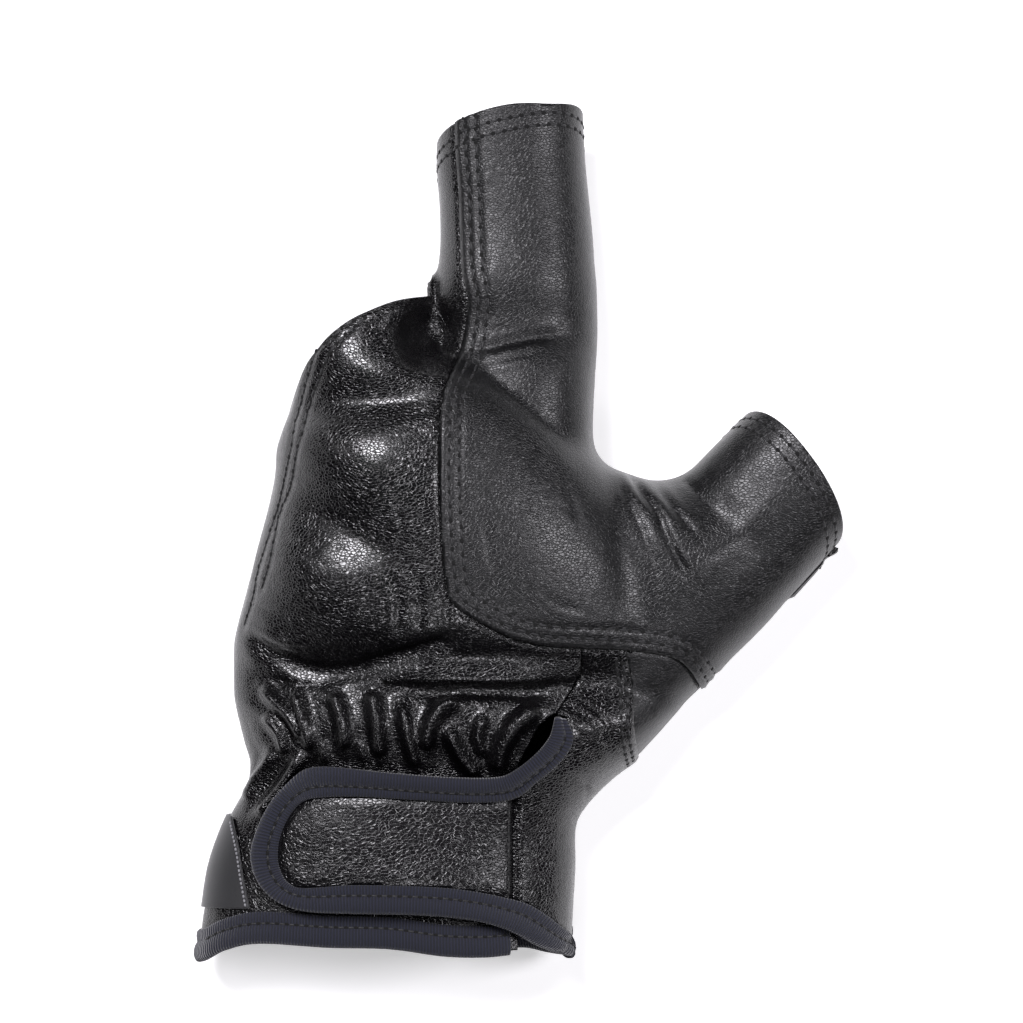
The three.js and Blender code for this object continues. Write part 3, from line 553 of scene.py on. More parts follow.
def hand_relief(p):
    """Height that the hand inside and its movements give to the leather of the back."""
    total = mound(p, (-33.7, 14.9), 17, 9, -28, 2.4) + mound(p, (-40.5, -8.3), 12, 8, -32, 1.9)
    total += mound(p, (-4.3, -27.9), 17, 2.5, 0, 2.5) + mound(p, (-21.3, -28.7), 9, 2.3, 8, 1.0)
    total -= mound(p, (-33.3, 0.9), 12, 4.5, -30, 1.0) + mound(p, (-27.7, 26.1), 14, 4.2, 4, 2.2) + mound(p, (-34.3, -24.5), 18, 3, 4, 0.9)
    hem, _ = to_line(p[:, :2], finger_hem)
    total -= mound(p, (-19.1, 38.9), 5, 7, 12, 2.4) * np.clip(hem / 5, 0, 1) ** 2
    total += sum(fold(p, line, width, depth) for line, width, depth in BACK_FOLDS)
    total += sum(fold(p, line, width, depth) for line, width, depth in SLEEVE_FOLDS)
    gathered = np.max([ridge(p, line, 1.25 * width, 1.75 * height, 2.5) for line, width, height in GATHERS], axis=0)
    gathered -= np.max([ridge(p, line, 3 * width, 0.4 * height, 2.5) for line, width, height in GATHERS], axis=0)
    valley = np.clip(1 - (np.abs(p[:, 1] + 41.5) / 8) ** 2, 0, 1) * np.clip((4 - p[:, 0]) / 6, 0, 1)
    total += gathered - 0.7 * valley
    total -= mound(p, (38.1, 5.7), 9, 3.2, -38, 0.8)
    total += mound(p, (43.7, -0.5), 16, 3.2, 40, 0.7)
    return total


def strap_relief(p):
    return sum(fold(p, line, width, depth) for line, width, depth in VENT_FOLDS)


def normals(mesh):
    flat = np.empty(len(mesh.vertices) * 3)
    mesh.vertex_normals.foreach_get("vector", flat)
    return flat.reshape(-1, 3)


def raise_by(mesh, height):
    """Pushes the skin out along its normals. The relief fades out below the side seams."""
    p, n = places(mesh), normals(mesh)
    above = np.clip((p[:, 2] - 14) / 5, 0, 1)
    groove = -0.5 * np.exp(-(((p[:, 2] - SEAM_HEIGHT) / 0.8) ** 2))
    put(mesh, p + n * (height(p) * above + groove)[:, None])


raise_by(hand_skin, hand_relief)
raise_by(strap_skin, strap_relief)
print("the gathers reach", round(float(places(hand_skin)[:, 2].max()), 1), "mm")

# %% Panels
def panel(skin, *measures):
    """A piece of the skin that lies inside every measure."""
    bm = bmesh.new()
    bm.from_mesh(skin)
    for measure in measures:
        cut(bm, measure)
    bm.normal_update()
    return bm


def push(bm, amount):
    """Moves every point along its normal by an amount worked out from all the points."""
    p = np.array([v.co for v in bm.verts])
    n = np.array([v.normal for v in bm.verts])
    for vert, place in zip(bm.verts, p + n * amount(p)[:, None]):
        vert.co = place
    bm.normal_update()


def finish(name, bm, material, nodes=(), thickness=0.0, lining=None):
    """Turns a bmesh into a piece in metres that rides with the glove."""
    bmesh.ops.scale(bm, vec=(MM, MM, MM), verts=bm.verts)
    mesh = bpy.data.meshes.new(name)
    bm.to_mesh(mesh)
    bm.free()
    mesh.shade_smooth()
    piece = bpy.data.objects.new(name, mesh)
    bpy.context.scene.collection.objects.link(piece)
    mesh.materials.append(material)
    if thickness:
        wall = piece.modifiers.new("thickness", "SOLIDIFY")
        wall.thickness, wall.offset = thickness * MM, -1
        if lining:
            mesh.materials.append(lining)
            wall.material_offset = 1
    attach(piece, "root")
    if nodes:
        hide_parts(*nodes)
    print(name, len(mesh.polygons), "faces")
    return piece


def above(p):
    return p[:, 2] - SEAM_HEIGHT


def below(p):
    return SEAM_HEIGHT - p[:, 2]

# %% [markdown]
# ## Materials
# The glove is goat leather, dyed black. The back is glazed, so it shines in the folds; the grip side is
# finer and duller. The edges are bound with navy tape. Every pattern's scale is a real size in millimetres.

# %% One helper that adds a node
def linear(code):
    """An sRGB hex colour as Blender's linear one."""
    parts = [int(code[i : i + 2], 16) / 255 for i in (1, 3, 5)]
    return (*[c / 12.92 if c <= 0.04045 else ((c + 0.055) / 1.055) ** 2.4 for c in parts], 1)


def add(tree, kind, links=None, **settings):
    """Adds a node, sets its properties and its inputs. An input takes a value or another node's output."""
    node = tree.nodes.new(kind)
    for name, value in settings.items():
        setattr(node, name, value)
    for socket, value in (links or {}).items():
        if isinstance(value, bpy.types.NodeSocket):
            tree.links.new(value, node.inputs[socket])
        else:
            node.inputs[socket].default_value = value
    return node


def new_material(name):
    material = bpy.data.materials.new(name)
    material.use_nodes = True
    material.node_tree.nodes.clear()
    tree = material.node_tree
    shader = add(tree, "ShaderNodeBsdfPrincipled")
    add(tree, "ShaderNodeOutputMaterial", {"Surface": shader.outputs["BSDF"]})
    return material, tree, shader


# %% Leather
def leather(name, dark, light, pebble, relief, smooth, rough, specular):
    """Dyed leather: rounded pebbles between fine grooves, with wrinkles and patches of duller glaze; the grooves are
    painted darker as shade.
    """
    material, tree, shader = new_material(name)
    where = add(tree, "ShaderNodeTexCoord").outputs["Object"]
    drift = add(tree, "ShaderNodeTexNoise", {"Vector": where, "Scale": 260, "Detail": 2}).outputs["Color"]
    stretched = add(tree, "ShaderNodeMapping", {"Vector": where, "Scale": (0.8, 1.3, 1)}).outputs[0]
    bent = add(tree, "ShaderNodeMixRGB", {0: 0.0012, 1: stretched, 2: drift}, blend_type="ADD").outputs[0]
    cells = add(tree, "ShaderNodeTexVoronoi", {"Vector": bent, "Scale": 1000 / pebble}, feature="DISTANCE_TO_EDGE")
    dome = add(tree, "ShaderNodeMapRange", {"Value": cells.outputs["Distance"], "From Max": 0.18}, interpolation_type="SMOOTHSTEP")
    fine = add(tree, "ShaderNodeTexNoise", {"Vector": where, "Scale": 2600, "Detail": 3})
    swell = add(tree, "ShaderNodeTexNoise", {"Vector": where, "Scale": 330, "Detail": 3})
    patch = add(tree, "ShaderNodeTexNoise", {"Vector": where, "Scale": 45, "Detail": 4})
    veins = add(tree, "ShaderNodeTexNoise", {"Vector": where, "Scale": 420, "Detail": 2, "Distortion": 0.8})
    off = add(tree, "ShaderNodeMath", {0: veins.outputs[0], 1: 0.5}, operation="SUBTRACT")
    thin = add(tree, "ShaderNodeMath", {0: off.outputs[0]}, operation="ABSOLUTE")
    wrinkle = add(tree, "ShaderNodeMapRange", {"Value": thin.outputs[0], "From Max": 0.035}, interpolation_type="SMOOTHSTEP")
    creased = add(tree, "ShaderNodeMath", {0: wrinkle.outputs[0], 1: 0.25, 2: dome.outputs[0]}, operation="MULTIPLY_ADD")
    grain = add(tree, "ShaderNodeMath", {0: fine.outputs[0], 1: 0.14, 2: creased.outputs[0]}, operation="MULTIPLY_ADD")
    coarse = add(tree, "ShaderNodeBump", {"Strength": 1, "Distance": 0.00012, "Height": swell.outputs[0]})
    bump = add(tree, "ShaderNodeBump", {"Strength": 1, "Distance": relief * MM, "Height": grain.outputs[0], "Normal": coarse.outputs[0]})
    rough_map = add(tree, "ShaderNodeMapRange", {"Value": patch.outputs[0], "From Min": 0.3, "From Max": 0.7, "To Min": smooth, "To Max": rough})
    groove = add(tree, "ShaderNodeMapRange", {"Value": dome.outputs[0], "To Min": 0.08, "To Max": 0.0})
    dulled = add(tree, "ShaderNodeMath", {0: rough_map.outputs[0], 1: groove.outputs[0]}, operation="ADD")
    # Painted shade: the grooves between the pebbles take the dark colour and the pebble tops the light one.
    tint = add(tree, "ShaderNodeMixRGB", {0: dome.outputs[0], 1: linear(dark), 2: linear(light)})
    for socket, value in {"Base Color": tint.outputs[0], "Roughness": dulled.outputs[0], "Normal": bump.outputs[0]}.items():
        tree.links.new(value, shader.inputs[socket])
    shader.inputs["Specular IOR Level"].default_value = specular
    shader.inputs["IOR"].default_value = 1.5
    return material


# Glazed goat nappa, milled soft: it shows as pebbles of about 0.9 mm that glint on every fold.
glazed_leather = leather("glazed_goat_leather", "#010101", "#060507", 0.66, 0.043, 0.15, 0.25, 0.5)
# The same hide with a matte dye: closer pebbles and a broad, quiet sheen.
matte_leather = leather("matte_grip_leather", "#020202", "#0c0c0e", 0.62, 0.032, 0.28, 0.37, 0.45)
strap_leather = leather("glazed_strap_leather", "#010102", "#080709", 0.8, 0.045, 0.18, 0.3, 0.5)


# %% Tape, thread, pile and satin
def woven_tape(name, dark, light, rib):
    """Ribbed tape: dull threads lying side by side across the edge, with a small shadow painted darker into each valley
    and the crests painted lighter.
    """
    material, tree, shader = new_material(name)
    map_u = add(tree, "ShaderNodeSeparateXYZ", {0: add(tree, "ShaderNodeUVMap", uv_map="along").outputs[0]})
    wave = add(tree, "ShaderNodeMath", {0: map_u.outputs["X"], 1: 2 * math.pi / rib}, operation="MULTIPLY")
    ribs = add(tree, "ShaderNodeMath", {0: wave.outputs[0]}, operation="SINE")
    where = add(tree, "ShaderNodeTexCoord").outputs["Object"]
    fuzz = add(tree, "ShaderNodeTexNoise", {"Vector": where, "Scale": 3500, "Detail": 4})
    height = add(tree, "ShaderNodeMath", {0: fuzz.outputs[0], 1: 1.2, 2: ribs.outputs[0]}, operation="MULTIPLY_ADD")
    bump = add(tree, "ShaderNodeBump", {"Strength": 0.8, "Distance": 0.00012, "Height": height.outputs[0]})
    level = add(tree, "ShaderNodeMapRange", {"Value": height.outputs[0], "From Min": -0.8, "From Max": 1.6})
    # Painted shade and light: the valleys between the ribs take the dark colour and the crests the light one.
    tint = add(tree, "ShaderNodeMixRGB", {0: level.outputs[0], 1: linear(dark), 2: linear(light)})
    for socket, value in {"Base Color": tint.outputs[0], "Normal": bump.outputs[0]}.items():
        tree.links.new(value, shader.inputs[socket])
    shader.inputs["Roughness"].default_value = 0.85
    shader.inputs["Sheen Weight"].default_value = 0.25
    shader.inputs["Sheen Roughness"].default_value = 0.4
    return material


def fibres(name, dark, light, size, relief, roughness, sheen):
    """A surface of fine fibres: thread, pile or satin, told apart by size, height and gloss."""
    material, tree, shader = new_material(name)
    where = add(tree, "ShaderNodeTexCoord").outputs["Object"]
    fuzz = add(tree, "ShaderNodeTexNoise", {"Vector": where, "Scale": 1000 / size, "Detail": 4})
    bump = add(tree, "ShaderNodeBump", {"Strength": 1, "Distance": relief * MM, "Height": fuzz.outputs[0]})
    tint = add(tree, "ShaderNodeMixRGB", {0: fuzz.outputs[0], 1: linear(dark), 2: linear(light)})
    for socket, value in {"Base Color": tint.outputs[0], "Normal": bump.outputs[0]}.items():
        tree.links.new(value, shader.inputs[socket])
    shader.inputs["Roughness"].default_value = roughness
    shader.inputs["Sheen Weight"].default_value = sheen
    return material


navy_tape = woven_tape("navy_binding_tape", "#05060a", "#15182a", 0.62 * MM)
black_thread = fibres("black_polyester_thread", "#050506", "#131316", 0.3, 0.04, 0.55, 0.12)
# Painted shade: a matte near-black patch is laid at each needle puncture to stand in for the shade inside it.
painted_hole_shade = fibres("painted_hole_shade", "#010101", "#030303", 0.3, 0.02, 0.95, 0.0)
# The inside is the hide's flesh side, a short nap that throws back hardly any light.
flesh_side = fibres("suede_flesh_side", "#060606", "#121213", 0.4, 0.1, 0.95, 0.15)
pile = fibres("fastener_pile", "#060607", "#15151a", 0.35, 0.2, 0.95, 0.4)
satin = fibres("woven_label_satin", "#08090b", "#121317", 0.25, 0.03, 0.55, 0.3)
pale_thread = fibres("pale_label_stitching", "#4a4a4e", "#9a9a9e", 0.3, 0.04, 0.6, 0.2)

# %% [markdown]
# ## Leather panels
# Each panel is cut out of the skin and given the thickness of the leather inwards. Where one panel laps
# over another, its edge stands a little higher and rolls down, because a real edge is folded and sewn.

# %% The back of the hand
GRIP_LAP = 2.6  # how far the back and the finger's side run on under the grip panel


def lip(p, line, rise, reach):
    """Height of a lapped edge: it stands up by rise, rolls down at the very edge and fades over its reach."""
    away, _ = to_line(p[:, :2], line)
    return rise * np.exp(-((away / reach) ** 2)) - 0.55 * rise * np.exp(-((away / 0.55) ** 2))


def rows_of_holes(p, line, offsets):
    """The shallow valley that each row of stitches pulls into the leather."""
    total = np.zeros(len(p))
    for offset in offsets:
        away, _ = to_line(p[:, :2], beside(line, offset))
        total -= 0.34 * np.exp(-((away / 0.7) ** 2))
    return total


hem_rows = spline([(-29.9, 42.5), (-33.5, 39.5), (-35.9, 37.1), (-38.1, 33.5), (-39.1, 30.5), (-41.3, 25.1), (-42.3, 20.3), (-43.5, 16.7), (-44.7, 10.1), (-45.5, 7.7), (-47.1, 4.1), (-47.9, 0.5), (-48.9, -4.9), (-49.5, -7.3), (-50.9, -11.5)], 60)
outer_rows = spline([(-32.1, 41.9), (-34.5, 40.7), (-36.5, 38.3), (-39.5, 36.3), (-41.3, 31.5), (-43.1, 25.1), (-44.1, 21.5), (-44.7, 17.3), (-46.7, 8.5), (-47.3, 5.9), (-48.3, 2.7), (-50.9, -5.5), (-51.7, -7.9), (-52.5, -12.7), (-54.5, -18.9)], 60)


def tucked(p):
    """Leather that runs on under the grip panel lies lower than it."""
    return -0.45 * np.clip(within(grip_area, 0.4)(p) / 0.8 + 0.5, 0, 1)


def back_shape(p):
    hem, _ = to_line(p[:, :2], finger_hem)
    pull = sum(-0.3 * np.exp(-((to_line(p[:, :2], row)[0] / 0.6) ** 2)) for row in (hem_rows, outer_rows))
    return tucked(p) - 0.4 * np.exp(-((hem / 0.6) ** 2)) + 0.25 * np.exp(-((hem / 4) ** 2)) + pull


def lapped(area):
    """The area, run on under the grip panel."""
    inner, grip = within(area), within(grip_area)

    def measure(p):
        own, depth = inner(p), grip(p)
        return np.maximum(own, np.where(depth > -0.05, np.minimum(GRIP_LAP - depth, own + GRIP_LAP + 0.5), -9))

    return measure


back = panel(hand_skin, above, lapped(back_area), not_in(fingers_area), not_in(cuff_area, 0.6))
push(back, back_shape)
finish("back_leather_panel", back, glazed_leather, ["back_panel"], 1.1, flesh_side)

# %% The finger's side and the grip panel
index_side = panel(hand_skin, above, index_rim, lapped(index_side_area), not_in(fingers_area))
push(index_side, tucked)
finish("index_side_leather", index_side, glazed_leather, ["index_side_panel"], 1.1, flesh_side)

grip = panel(hand_skin, above, index_rim, thumb_rim, within(grip_area))
push(grip, lambda p: lip(p, grip_edge, 0.75, 5.5) + rows_of_holes(p, grip_edge, (1.9, 3.9)))
finish("grip_leather_panel", grip, matte_leather, ["grip_panel"], 1.1, flesh_side)

# %% The palm
palm_hem = finger_hem - np.array([0, 2.5])
palm_area = outline(palm_hem, [-FAR, palm_hem[-1][1]], out(-1, 1), [palm_hem[0][0], FAR])
thumb_welt = [(61.5, -4.7), (57.9, -9.3), (54.3, -13.5)]  # the palm leather stands out a little behind the thumb's seam
palm = panel(hand_skin, below, index_rim, thumb_rim, not_in(palm_area), not_in(cuff_area, 0.6))
push(palm, lambda p: np.clip((p[:, 2] - 8) / 4, 0, 1) * (mound(p, (63.3, -3.1), 2.0, 2.0, 0, 1.3) + ridge(p, thumb_welt, 0.9, 0.8, 1.5)))
finish("palm_leather_panel", palm, matte_leather, ["palm_panel"], 1.1, flesh_side)

# %% The strap, the vent and the heel of the thumb
left_of_seam = lambda p: strap_seam_x - p[:, 0]
right_of_seam = lambda p: p[:, 0] - strap_seam_x


def seam_sink(line, depth=0.5, width=0.6):
    return lambda p: -depth * np.exp(-((to_line(p[:, :2], line)[0] / width) ** 2))


seam_line = np.array([[strap_seam_x, -95], [strap_seam_x, -40]])
strap = panel(strap_skin, above, within(strap_area), left_of_seam)
push(strap, lambda p: seam_sink(seam_line, 1.1, 0.9)(p) - 0.4 * np.exp(-((to_line(p[:, :2], binding_inner)[0] / 0.8) ** 2)))
finish("strap_leather", strap, strap_leather, ["strap"], 1.1, flesh_side)

vent = panel(strap_skin, above, lapped(strap_area), right_of_seam)
push(vent, lambda p: seam_sink(seam_line, 1.1, 0.9)(p) + seam_sink(vent_seam, 0.6, 0.6)(p) + lip(p, heel_seam, 0.55, 3.2) + tucked(p))
finish("vent_leather_panel", vent, glazed_leather, ["vent_panel"], 1.1, flesh_side)

heel = panel(strap_skin, above, thumb_rim, lapped(heel_area))
push(heel, lambda p: tucked(p) - 0.25)
finish("heel_leather_panel", heel, matte_leather, ["heel_panel"], 1.1, flesh_side)

# %% [markdown]
# ## Bound edges
# The strap and the cuff's hem are bound with tape that is folded over the edge of the leather and sewn
# through. Seen from above it is a round, ribbed roll along the free edge and a flatter lip inside the
# stitches. One profile is swept along the edge, ring by ring, and a UV map counts millimetres along it for
# the ribs.

# %% A swept profile
TAPE = [(0.00, 0.00), (0.02, 0.45), (0.10, 0.85), (0.24, 1.08), (0.40, 1.02), (0.52, 0.78), (0.60, 0.48),
        (0.64, 0.34), (0.70, 0.44), (0.82, 0.50), (0.94, 0.42), (1.00, 0.10), (1.00, -1.30), (0.80, -1.60),
        (0.40, -1.60), (0.10, -1.40), (0.02, -0.80)]  # share across from the free edge, height in mm


def sweep(outer, inner, up, profile=TAPE, closed=False):
    """A profile carried along two edges. outer and inner are matching rows of points, up their normals."""
    bm = bmesh.new()
    number = bm.verts.layers.int.new("number")
    along = bm.verts.layers.float.new("along")
    bmesh.ops.create_circle(bm, segments=len(profile), radius=1)
    bm.verts.ensure_lookup_table()
    for i, vert in enumerate(bm.verts):
        vert[number] = i
    ring = first = list(bm.edges)
    middle = (np.asarray(outer) + np.asarray(inner)) / 2
    run = np.concatenate([[0], np.cumsum(np.linalg.norm(np.diff(middle, axis=0), axis=1))])
    for step, (a, b, n) in enumerate(zip(outer, inner, up)):
        if step:
            made = bmesh.ops.extrude_edge_only(bm, edges=ring)["geom"]
            ring = [e for e in made if isinstance(e, bmesh.types.BMEdge) and len(e.link_faces) == 1]
        for vert in {v for e in ring for v in e.verts}:
            share, height = profile[vert[number]]
            vert.co = Vector(a + (b - a) * share + n * height)
            vert[along] = run[step]
    if closed:
        bmesh.ops.bridge_loops(bm, edges=ring + first)
    bmesh.ops.holes_fill(bm, edges=[e for e in bm.edges if e.is_boundary], sides=0)
    bmesh.ops.recalc_face_normals(bm, faces=bm.faces)
    uv = bm.loops.layers.uv.new("along")
    for face in bm.faces:
        for loop in face.loops:
            loop[uv].uv = (loop.vert[along] * MM, 0)
    return bm


def tree_of(bm):
    return BVHTree.FromBMesh(bm)


def skin_tree(mesh):
    bm = bmesh.new()
    bm.from_mesh(mesh)
    tree = BVHTree.FromBMesh(bm)
    bm.free()
    return tree


hand_tree, strap_tree = skin_tree(hand_skin), skin_tree(strap_skin)


def drop(tree, line, floor=SEAM_HEIGHT):
    """Points of a line on the table, dropped on a surface from above, and the surface's normals there."""
    on, up = [], []
    for x, y in line:
        hit, normal, *_ = tree.ray_cast(Vector((x, y, 90)), Vector((0, 0, -1)))
        if hit is None or hit.z < floor:
            hit, normal, *_ = tree.find_nearest(Vector((x, y, floor)))
        on.append(hit)
        up.append(normal)
    on, up = np.array(on), np.array(up)
    for _ in range(4):
        up[1:-1] = (up[:-2] + 2 * up[1:-1] + up[2:]) / 4
        up /= np.linalg.norm(up, axis=1)[:, None]
    return on, up


def evenly(line, step, start=0.0, stop=0.0):
    """Points at an even spacing along a line of two or three coordinates."""
    line = np.asarray(line, float)
    run = np.concatenate([[0], np.cumsum(np.linalg.norm(np.diff(line, axis=0), axis=1))])
    count = max(int(round((run[-1] - stop - start) / step)), 1)
    at = np.linspace(start, run[-1] - stop, count + 1)
    return np.stack([np.interp(at, run, line[:, k]) for k in range(line.shape[1])], 1)


def matched(line, other):
    """For each point of a line, the nearest point of the other line, kept in order."""
    fine = evenly(other, 0.2)
    index = [int(np.argmin(np.hypot(*(fine - p).T))) for p in line]
    index = np.maximum.accumulate(index)
    kernel = np.ones(9) / 9
    smooth = np.convolve(np.pad(index.astype(float), 4, mode="edge"), kernel, "valid")
    return np.stack([np.interp(smooth, range(len(fine)), fine[:, k]) for k in range(2)], 1)


# %% The strap's binding
outer_line = evenly(binding_outer[np.hypot(*(binding_outer - binding_outer[0]).T) > 2.5], 0.7)
inner_line = matched(outer_line, binding_inner)
outer_on, outer_up = drop(strap_tree, outer_line)
inner_on, inner_up = drop(strap_tree, inner_line)
binding_up = (outer_up + inner_up) / 2
binding_up /= np.linalg.norm(binding_up, axis=1)[:, None]
finish("strap_binding_tape", sweep(outer_on, inner_on, binding_up), navy_tape, ["strap_binding"])
binding_middle = (inner_line + (outer_line - inner_line) * 0.36)

# %% The cuff's hem binding
def round_cuff(y_at, proud, turns):
    """Points round the cuff at heights given by the section, for a line y = y_at(x)."""
    points = []
    for turn in turns:
        y = -82.0
        for _ in range(4):
            x, z = section(hand_rows, y, np.array([turn]), 0.0, proud)
            y = y_at(float(x[0]))
        points.append((float(x[0]), y, float(z[0])))
    return np.array(points)


hem_order = np.argsort(cuff_hem[:, 0])
hem_y = lambda x: float(np.interp(x, cuff_hem[hem_order, 0], cuff_hem[hem_order, 1]))
hem_turns = np.concatenate([np.linspace(0.284, 1.0, 140), np.linspace(1.0, 1.97, 200)])
hem_outer = round_cuff(lambda x: hem_y(x) - 0.3, 0.0, hem_turns)
hem_outer = evenly(hem_outer, 0.7)
centre_line = np.stack([np.full(len(hem_outer), np.mean(hem_outer[:, 0])), hem_outer[:, 1], np.full(len(hem_outer), 12.0)], 1)
tangent = np.gradient(hem_outer, axis=0)
hem_up = np.cross(tangent, np.array([0, 1.0, 0]))
hem_up /= np.linalg.norm(hem_up, axis=1)[:, None]
hem_up *= np.sign(np.sum(hem_up * (hem_outer - centre_line), axis=1))[:, None]
hem_inner = hem_outer + np.array([0, 6.4, 0])
hem_tape = sweep(hem_outer, hem_inner, hem_up)
for vert in hem_tape.verts:
    vert.co.z = max(vert.co.z, 0.02)  # the tape is pressed flat where it lies on the table
finish("cuff_hem_tape", hem_tape, navy_tape, ["hem_binding"])

# %% [markdown]
# ## Stitches
# A lockstitch sinks into leather: between two needle punctures the thread lies almost flush. Each stitch is
# a small capsule, with a flat near-black patch at its end that is painted shade for the dark of the puncture.
# Each capsule is made on its own from a few faces, so the hundreds of stitches stay light.

# %% Sew along a row
def capsule(bm, where, run, up, length, width, height):
    """A small rounded bead laid along run on the surface."""
    side = run.cross(up).normalized()
    up = side.cross(run).normalized()
    turn = Matrix((run, side, up)).transposed().to_4x4()
    size = Matrix.Diagonal((length / 2, width / 2, height / 2, 1))
    bmesh.ops.create_uvsphere(bm, u_segments=8, v_segments=5, radius=1, matrix=Matrix.Translation(where) @ turn @ size)


def sew(name, rows, pitch, material=None, length=0.72, width=0.55, height=0.34, lift=0.0, with_hole_shade=True):
    """Stitches along rows of points on a surface, given with their normals."""
    thread, hole_shade_patch = bmesh.new(), bmesh.new()
    for on, up in rows:
        spots = evenly(np.hstack([on, up]), pitch)
        for a, b in zip(spots[:-1], spots[1:]):
            run = Vector(b[:3] - a[:3])
            if not 0.4 * pitch < run.length < 2 * pitch:
                continue
            normal = Vector((a[3:] + b[3:]) / 2).normalized()
            middle = Vector((a[:3] + b[:3]) / 2) + normal * lift
            capsule(thread, middle, run.normalized(), normal, pitch * length, width, height)
            # painted shade: a flat near-black patch at the needle puncture, standing in for the dark inside it
            if with_hole_shade:
                capsule(hole_shade_patch, Vector(a[:3]) + Vector(a[3:]) * (lift + 0.02), run.normalized(), Vector(a[3:]), 1.05, 0.85, 0.2)
    for vert in [*thread.verts, *hole_shade_patch.verts]:
        vert.co.z = max(vert.co.z, 0.01)  # nothing reaches through the table
    finish(name, thread, material or black_thread)
    if with_hole_shade:
        finish(name + "_holes", hole_shade_patch, painted_hole_shade)


def visual_tree(*names):
    """The finished surfaces of some pieces, with their thickness, in millimetres."""
    depsgraph = bpy.context.evaluated_depsgraph_get()
    bm = bmesh.new()
    for name in names:
        bm.from_mesh(bpy.data.objects[name].evaluated_get(depsgraph).data)
    bmesh.ops.scale(bm, vec=(1 / MM,) * 3, verts=bm.verts)
    tree = BVHTree.FromBMesh(bm)
    bm.free()
    return tree


bpy.context.view_layer.update()
grip_tree = visual_tree("grip_leather_panel")
sew("grip_edge_stitches", [drop(grip_tree, evenly(beside(grip_edge, offset), 0.5, 8, 4)) for offset in (1.9, 3.9)], 2.8)
back_tree = visual_tree("back_leather_panel")
sew("little_finger_side_stitches", [drop(back_tree, evenly(row, 0.5)) for row in (hem_rows, outer_rows)], 2.6)
heel_tree = visual_tree("heel_leather_panel", "vent_leather_panel")
sew("heel_seam_stitches", [drop(heel_tree, evenly(beside(heel_seam, offset), 0.5, 2.5, 1)) for offset in (-1.1, -2.4)], 2.2)
tape_tree = visual_tree("strap_binding_tape")
hem_tree = visual_tree("cuff_hem_tape")
hem_middle = hem_outer[(hem_outer[:, 2] > 15) & (hem_outer[:, 0] < 20)][:, :2] + np.array([0, 4.1])
sew("cuff_hem_stitches", [drop(hem_tree, evenly(hem_middle, 0.5, 1, 1))], 2.0, width=0.5, lift=0.05)
sew("strap_binding_stitches", [drop(tape_tree, evenly(binding_middle, 0.5, 1, 2))], 2.0, width=0.5, lift=0.05)

# %% Rows round the rims of the finger and the thumb
def round_sleeve(tree, centre, heading, slope, skew, back):
    """The sleeve's skin where a plane cuts it, as far back from the rim as asked, with its normals."""
    along = np.array([math.cos(heading), math.sin(heading), 0])
    right = np.array([math.sin(heading), -math.cos(heading), 0])
    normal = along - skew * right + np.array([0, 0, -slope])
    normal /= np.linalg.norm(normal)
    across = np.cross(normal, np.cross(right, normal))
    across /= np.linalg.norm(across)
    rise = np.cross(across, normal)
    origin = np.array([*centre, SEAM_HEIGHT]) - normal * back
    on, up = [], []
    for angle in np.linspace(0, 2 * math.pi, 181):
        ray = across * math.cos(angle) + rise * math.sin(angle)
        hit, face, *_ = tree.ray_cast(Vector(origin + 22 * ray), Vector(-ray))
        if hit:
            on.append(hit)
            up.append(face)
    return np.array(on), np.array(up)


rim_tree = visual_tree("grip_leather_panel", "index_side_leather", "palm_leather_panel")
sew("finger_rim_stitches", [round_sleeve(rim_tree, on_index(0, 0.905), math.pi / 2, 0.44, 0.217, back) for back in (2.6, 4.8)], 2.3)
sew("thumb_rim_stitches", [round_sleeve(rim_tree, on_thumb(0, 0.865), THUMB_HEADING, 0.45, -0.144, back) for back in (1.8, 4.0)], 2.4)

# %% [markdown]
# ## Fastener pads and the blank label
# The strap closes on a pile pad with a hook pad of its own. Both are hidden unless the strap is lifted, but
# they are there. The satin label is folded round the little finger's side of the cuff and is left blank.

# %% The two pads
def pad(name, left, right, low, high, lift, node):
    bm = bmesh.new()
    bmesh.ops.create_grid(bm, x_segments=50, y_segments=26, size=1)
    corners = on_cuff(left, low), on_cuff(right, high)
    for vert in bm.verts:
        share = np.array([(vert.co.x + 1) / 2, (vert.co.y + 1) / 2])
        x, y = corners[0] + (corners[1] - corners[0]) * share
        cut_left, cut_right = read(hand_rows, 1, y), read(hand_rows, 2, y)
        cos = np.clip((x - (cut_left + cut_right) / 2) / ((cut_right - cut_left) / 2), -1, 1)
        share_up = (1 - abs(cos) ** 2.3) ** (1 / 2.3)
        top = read(hand_rows, 3, y) + lift
        vert.co = (x, y, SEAM_HEIGHT + (top - SEAM_HEIGHT) * share_up)
    bmesh.ops.recalc_face_normals(bm, faces=bm.faces)
    if sum(f.normal.z for f in bm.faces) < 0:
        bmesh.ops.reverse_faces(bm, faces=bm.faces)
    finish(name, bm, pile, [node], PAD_THICKNESS)


pad("loop_pile_pad", -0.588, -0.124, -0.552, -0.387, PAD_GAP + PAD_THICKNESS, "loop_pad")
pad("hook_pile_pad", -0.575, -0.231, -0.517, -0.405, 2 * (PAD_GAP + PAD_THICKNESS), "hook_pad")

# %% The label
label_area = outline(label_edge, [-FAR, label_edge[-1][1]], [-FAR, label_edge[0][1]])
label = panel(hand_skin, within(label_area), lambda p: p[:, 2] - 4.5)
push(label, lambda p: np.full(len(p), 0.75))
finish("blank_side_label", label, satin, ["side_label"], 0.45)
label_tree = visual_tree("blank_side_label")
sew("label_edge_stitches", [drop(label_tree, evenly(beside(label_edge, -0.9), 0.4, 0.6, 0.6), 5)], 0.9, pale_thread, 0.8, 0.5, 0.35, 0.02, False)

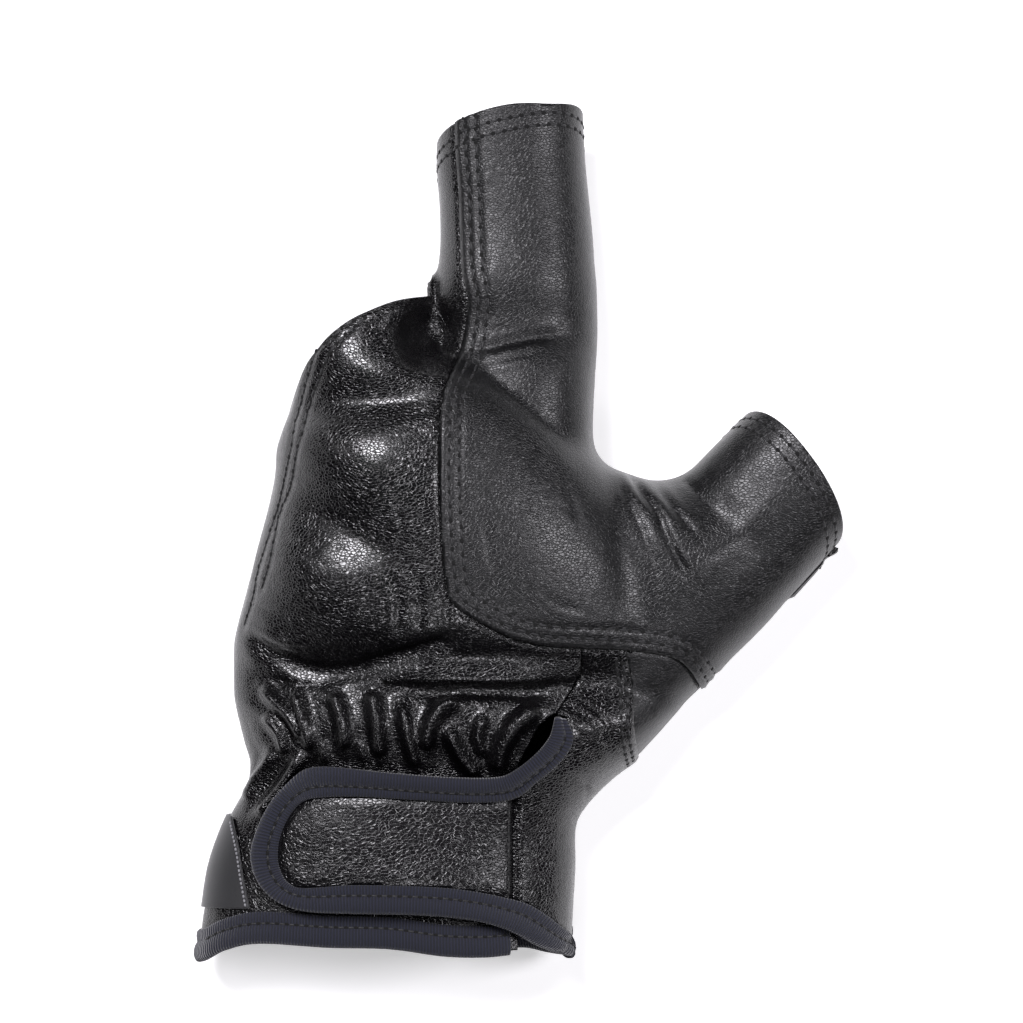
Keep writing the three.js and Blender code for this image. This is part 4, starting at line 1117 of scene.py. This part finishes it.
# %% [markdown]
# ## Floor, light and camera
# The glove lies on a plain pale table under soft studio light. The camera looks straight down through a
# long lens, so the picture is nearly without perspective.

# %% Floor
floor_mesh = bpy.data.meshes.new("floor")
floor_bm = bmesh.new()
bmesh.ops.create_grid(floor_bm, x_segments=1, y_segments=1, size=3)
floor_bm.to_mesh(floor_mesh)
floor_bm.free()
floor = bpy.data.objects.new("floor", floor_mesh)
bpy.context.scene.collection.objects.link(floor)
paper, paper_tree, paper_shader = new_material("white_paper")
paper_shader.inputs["Base Color"].default_value = linear("#f6f6f6")
paper_shader.inputs["Roughness"].default_value = 0.9
paper_shader.inputs["Emission Color"].default_value = (1, 1, 1, 1)
paper_shader.inputs["Emission Strength"].default_value = 0.42
floor_mesh.materials.append(paper)

# %% Lights
def softbox(name, place, size, power):
    light = bpy.data.lights.new(name, "AREA")
    light.color = (0.97, 0.95, 1.0)
    light.shape, light.size, light.size_y, light.energy = "RECTANGLE", size[0], size[1], power
    lamp = bpy.data.objects.new(name, light)
    lamp.location = place
    lamp.rotation_euler = (-Vector(place)).to_track_quat("-Z", "Y").to_euler()
    bpy.context.scene.collection.objects.link(lamp)


softbox("far_softbox", (-0.36, 0.50, 1.08), (0.40, 0.36), 17)
softbox("near_softbox", (0.05, -0.60, 1.05), (0.30, 0.2), 2)
softbox("right_softbox", (0.76, 0.10, 0.95), (0.26, 0.6), 9)
softbox("left_softbox", (-0.85, 0.3, 0.8), (0.2, 0.5), 0.6)
world = bpy.data.worlds.new("studio")
world.use_nodes = True
world.node_tree.nodes["Background"].inputs["Color"].default_value = (1, 1, 1, 1)
world.node_tree.nodes["Background"].inputs["Strength"].default_value = 0.01
bpy.context.scene.world = world
bpy.context.scene.view_settings.view_transform = "Standard"

# %% Camera
camera_data = bpy.data.cameras.new("camera")
camera_data.lens, camera_data.sensor_width = 261.3, 36
camera_data.clip_start, camera_data.clip_end = 0.05, 20
camera = bpy.data.objects.new("camera", camera_data)
camera.location = (-0.0010, 0.0042, 1.5)
bpy.context.scene.collection.objects.link(camera)
bpy.context.scene.camera = camera
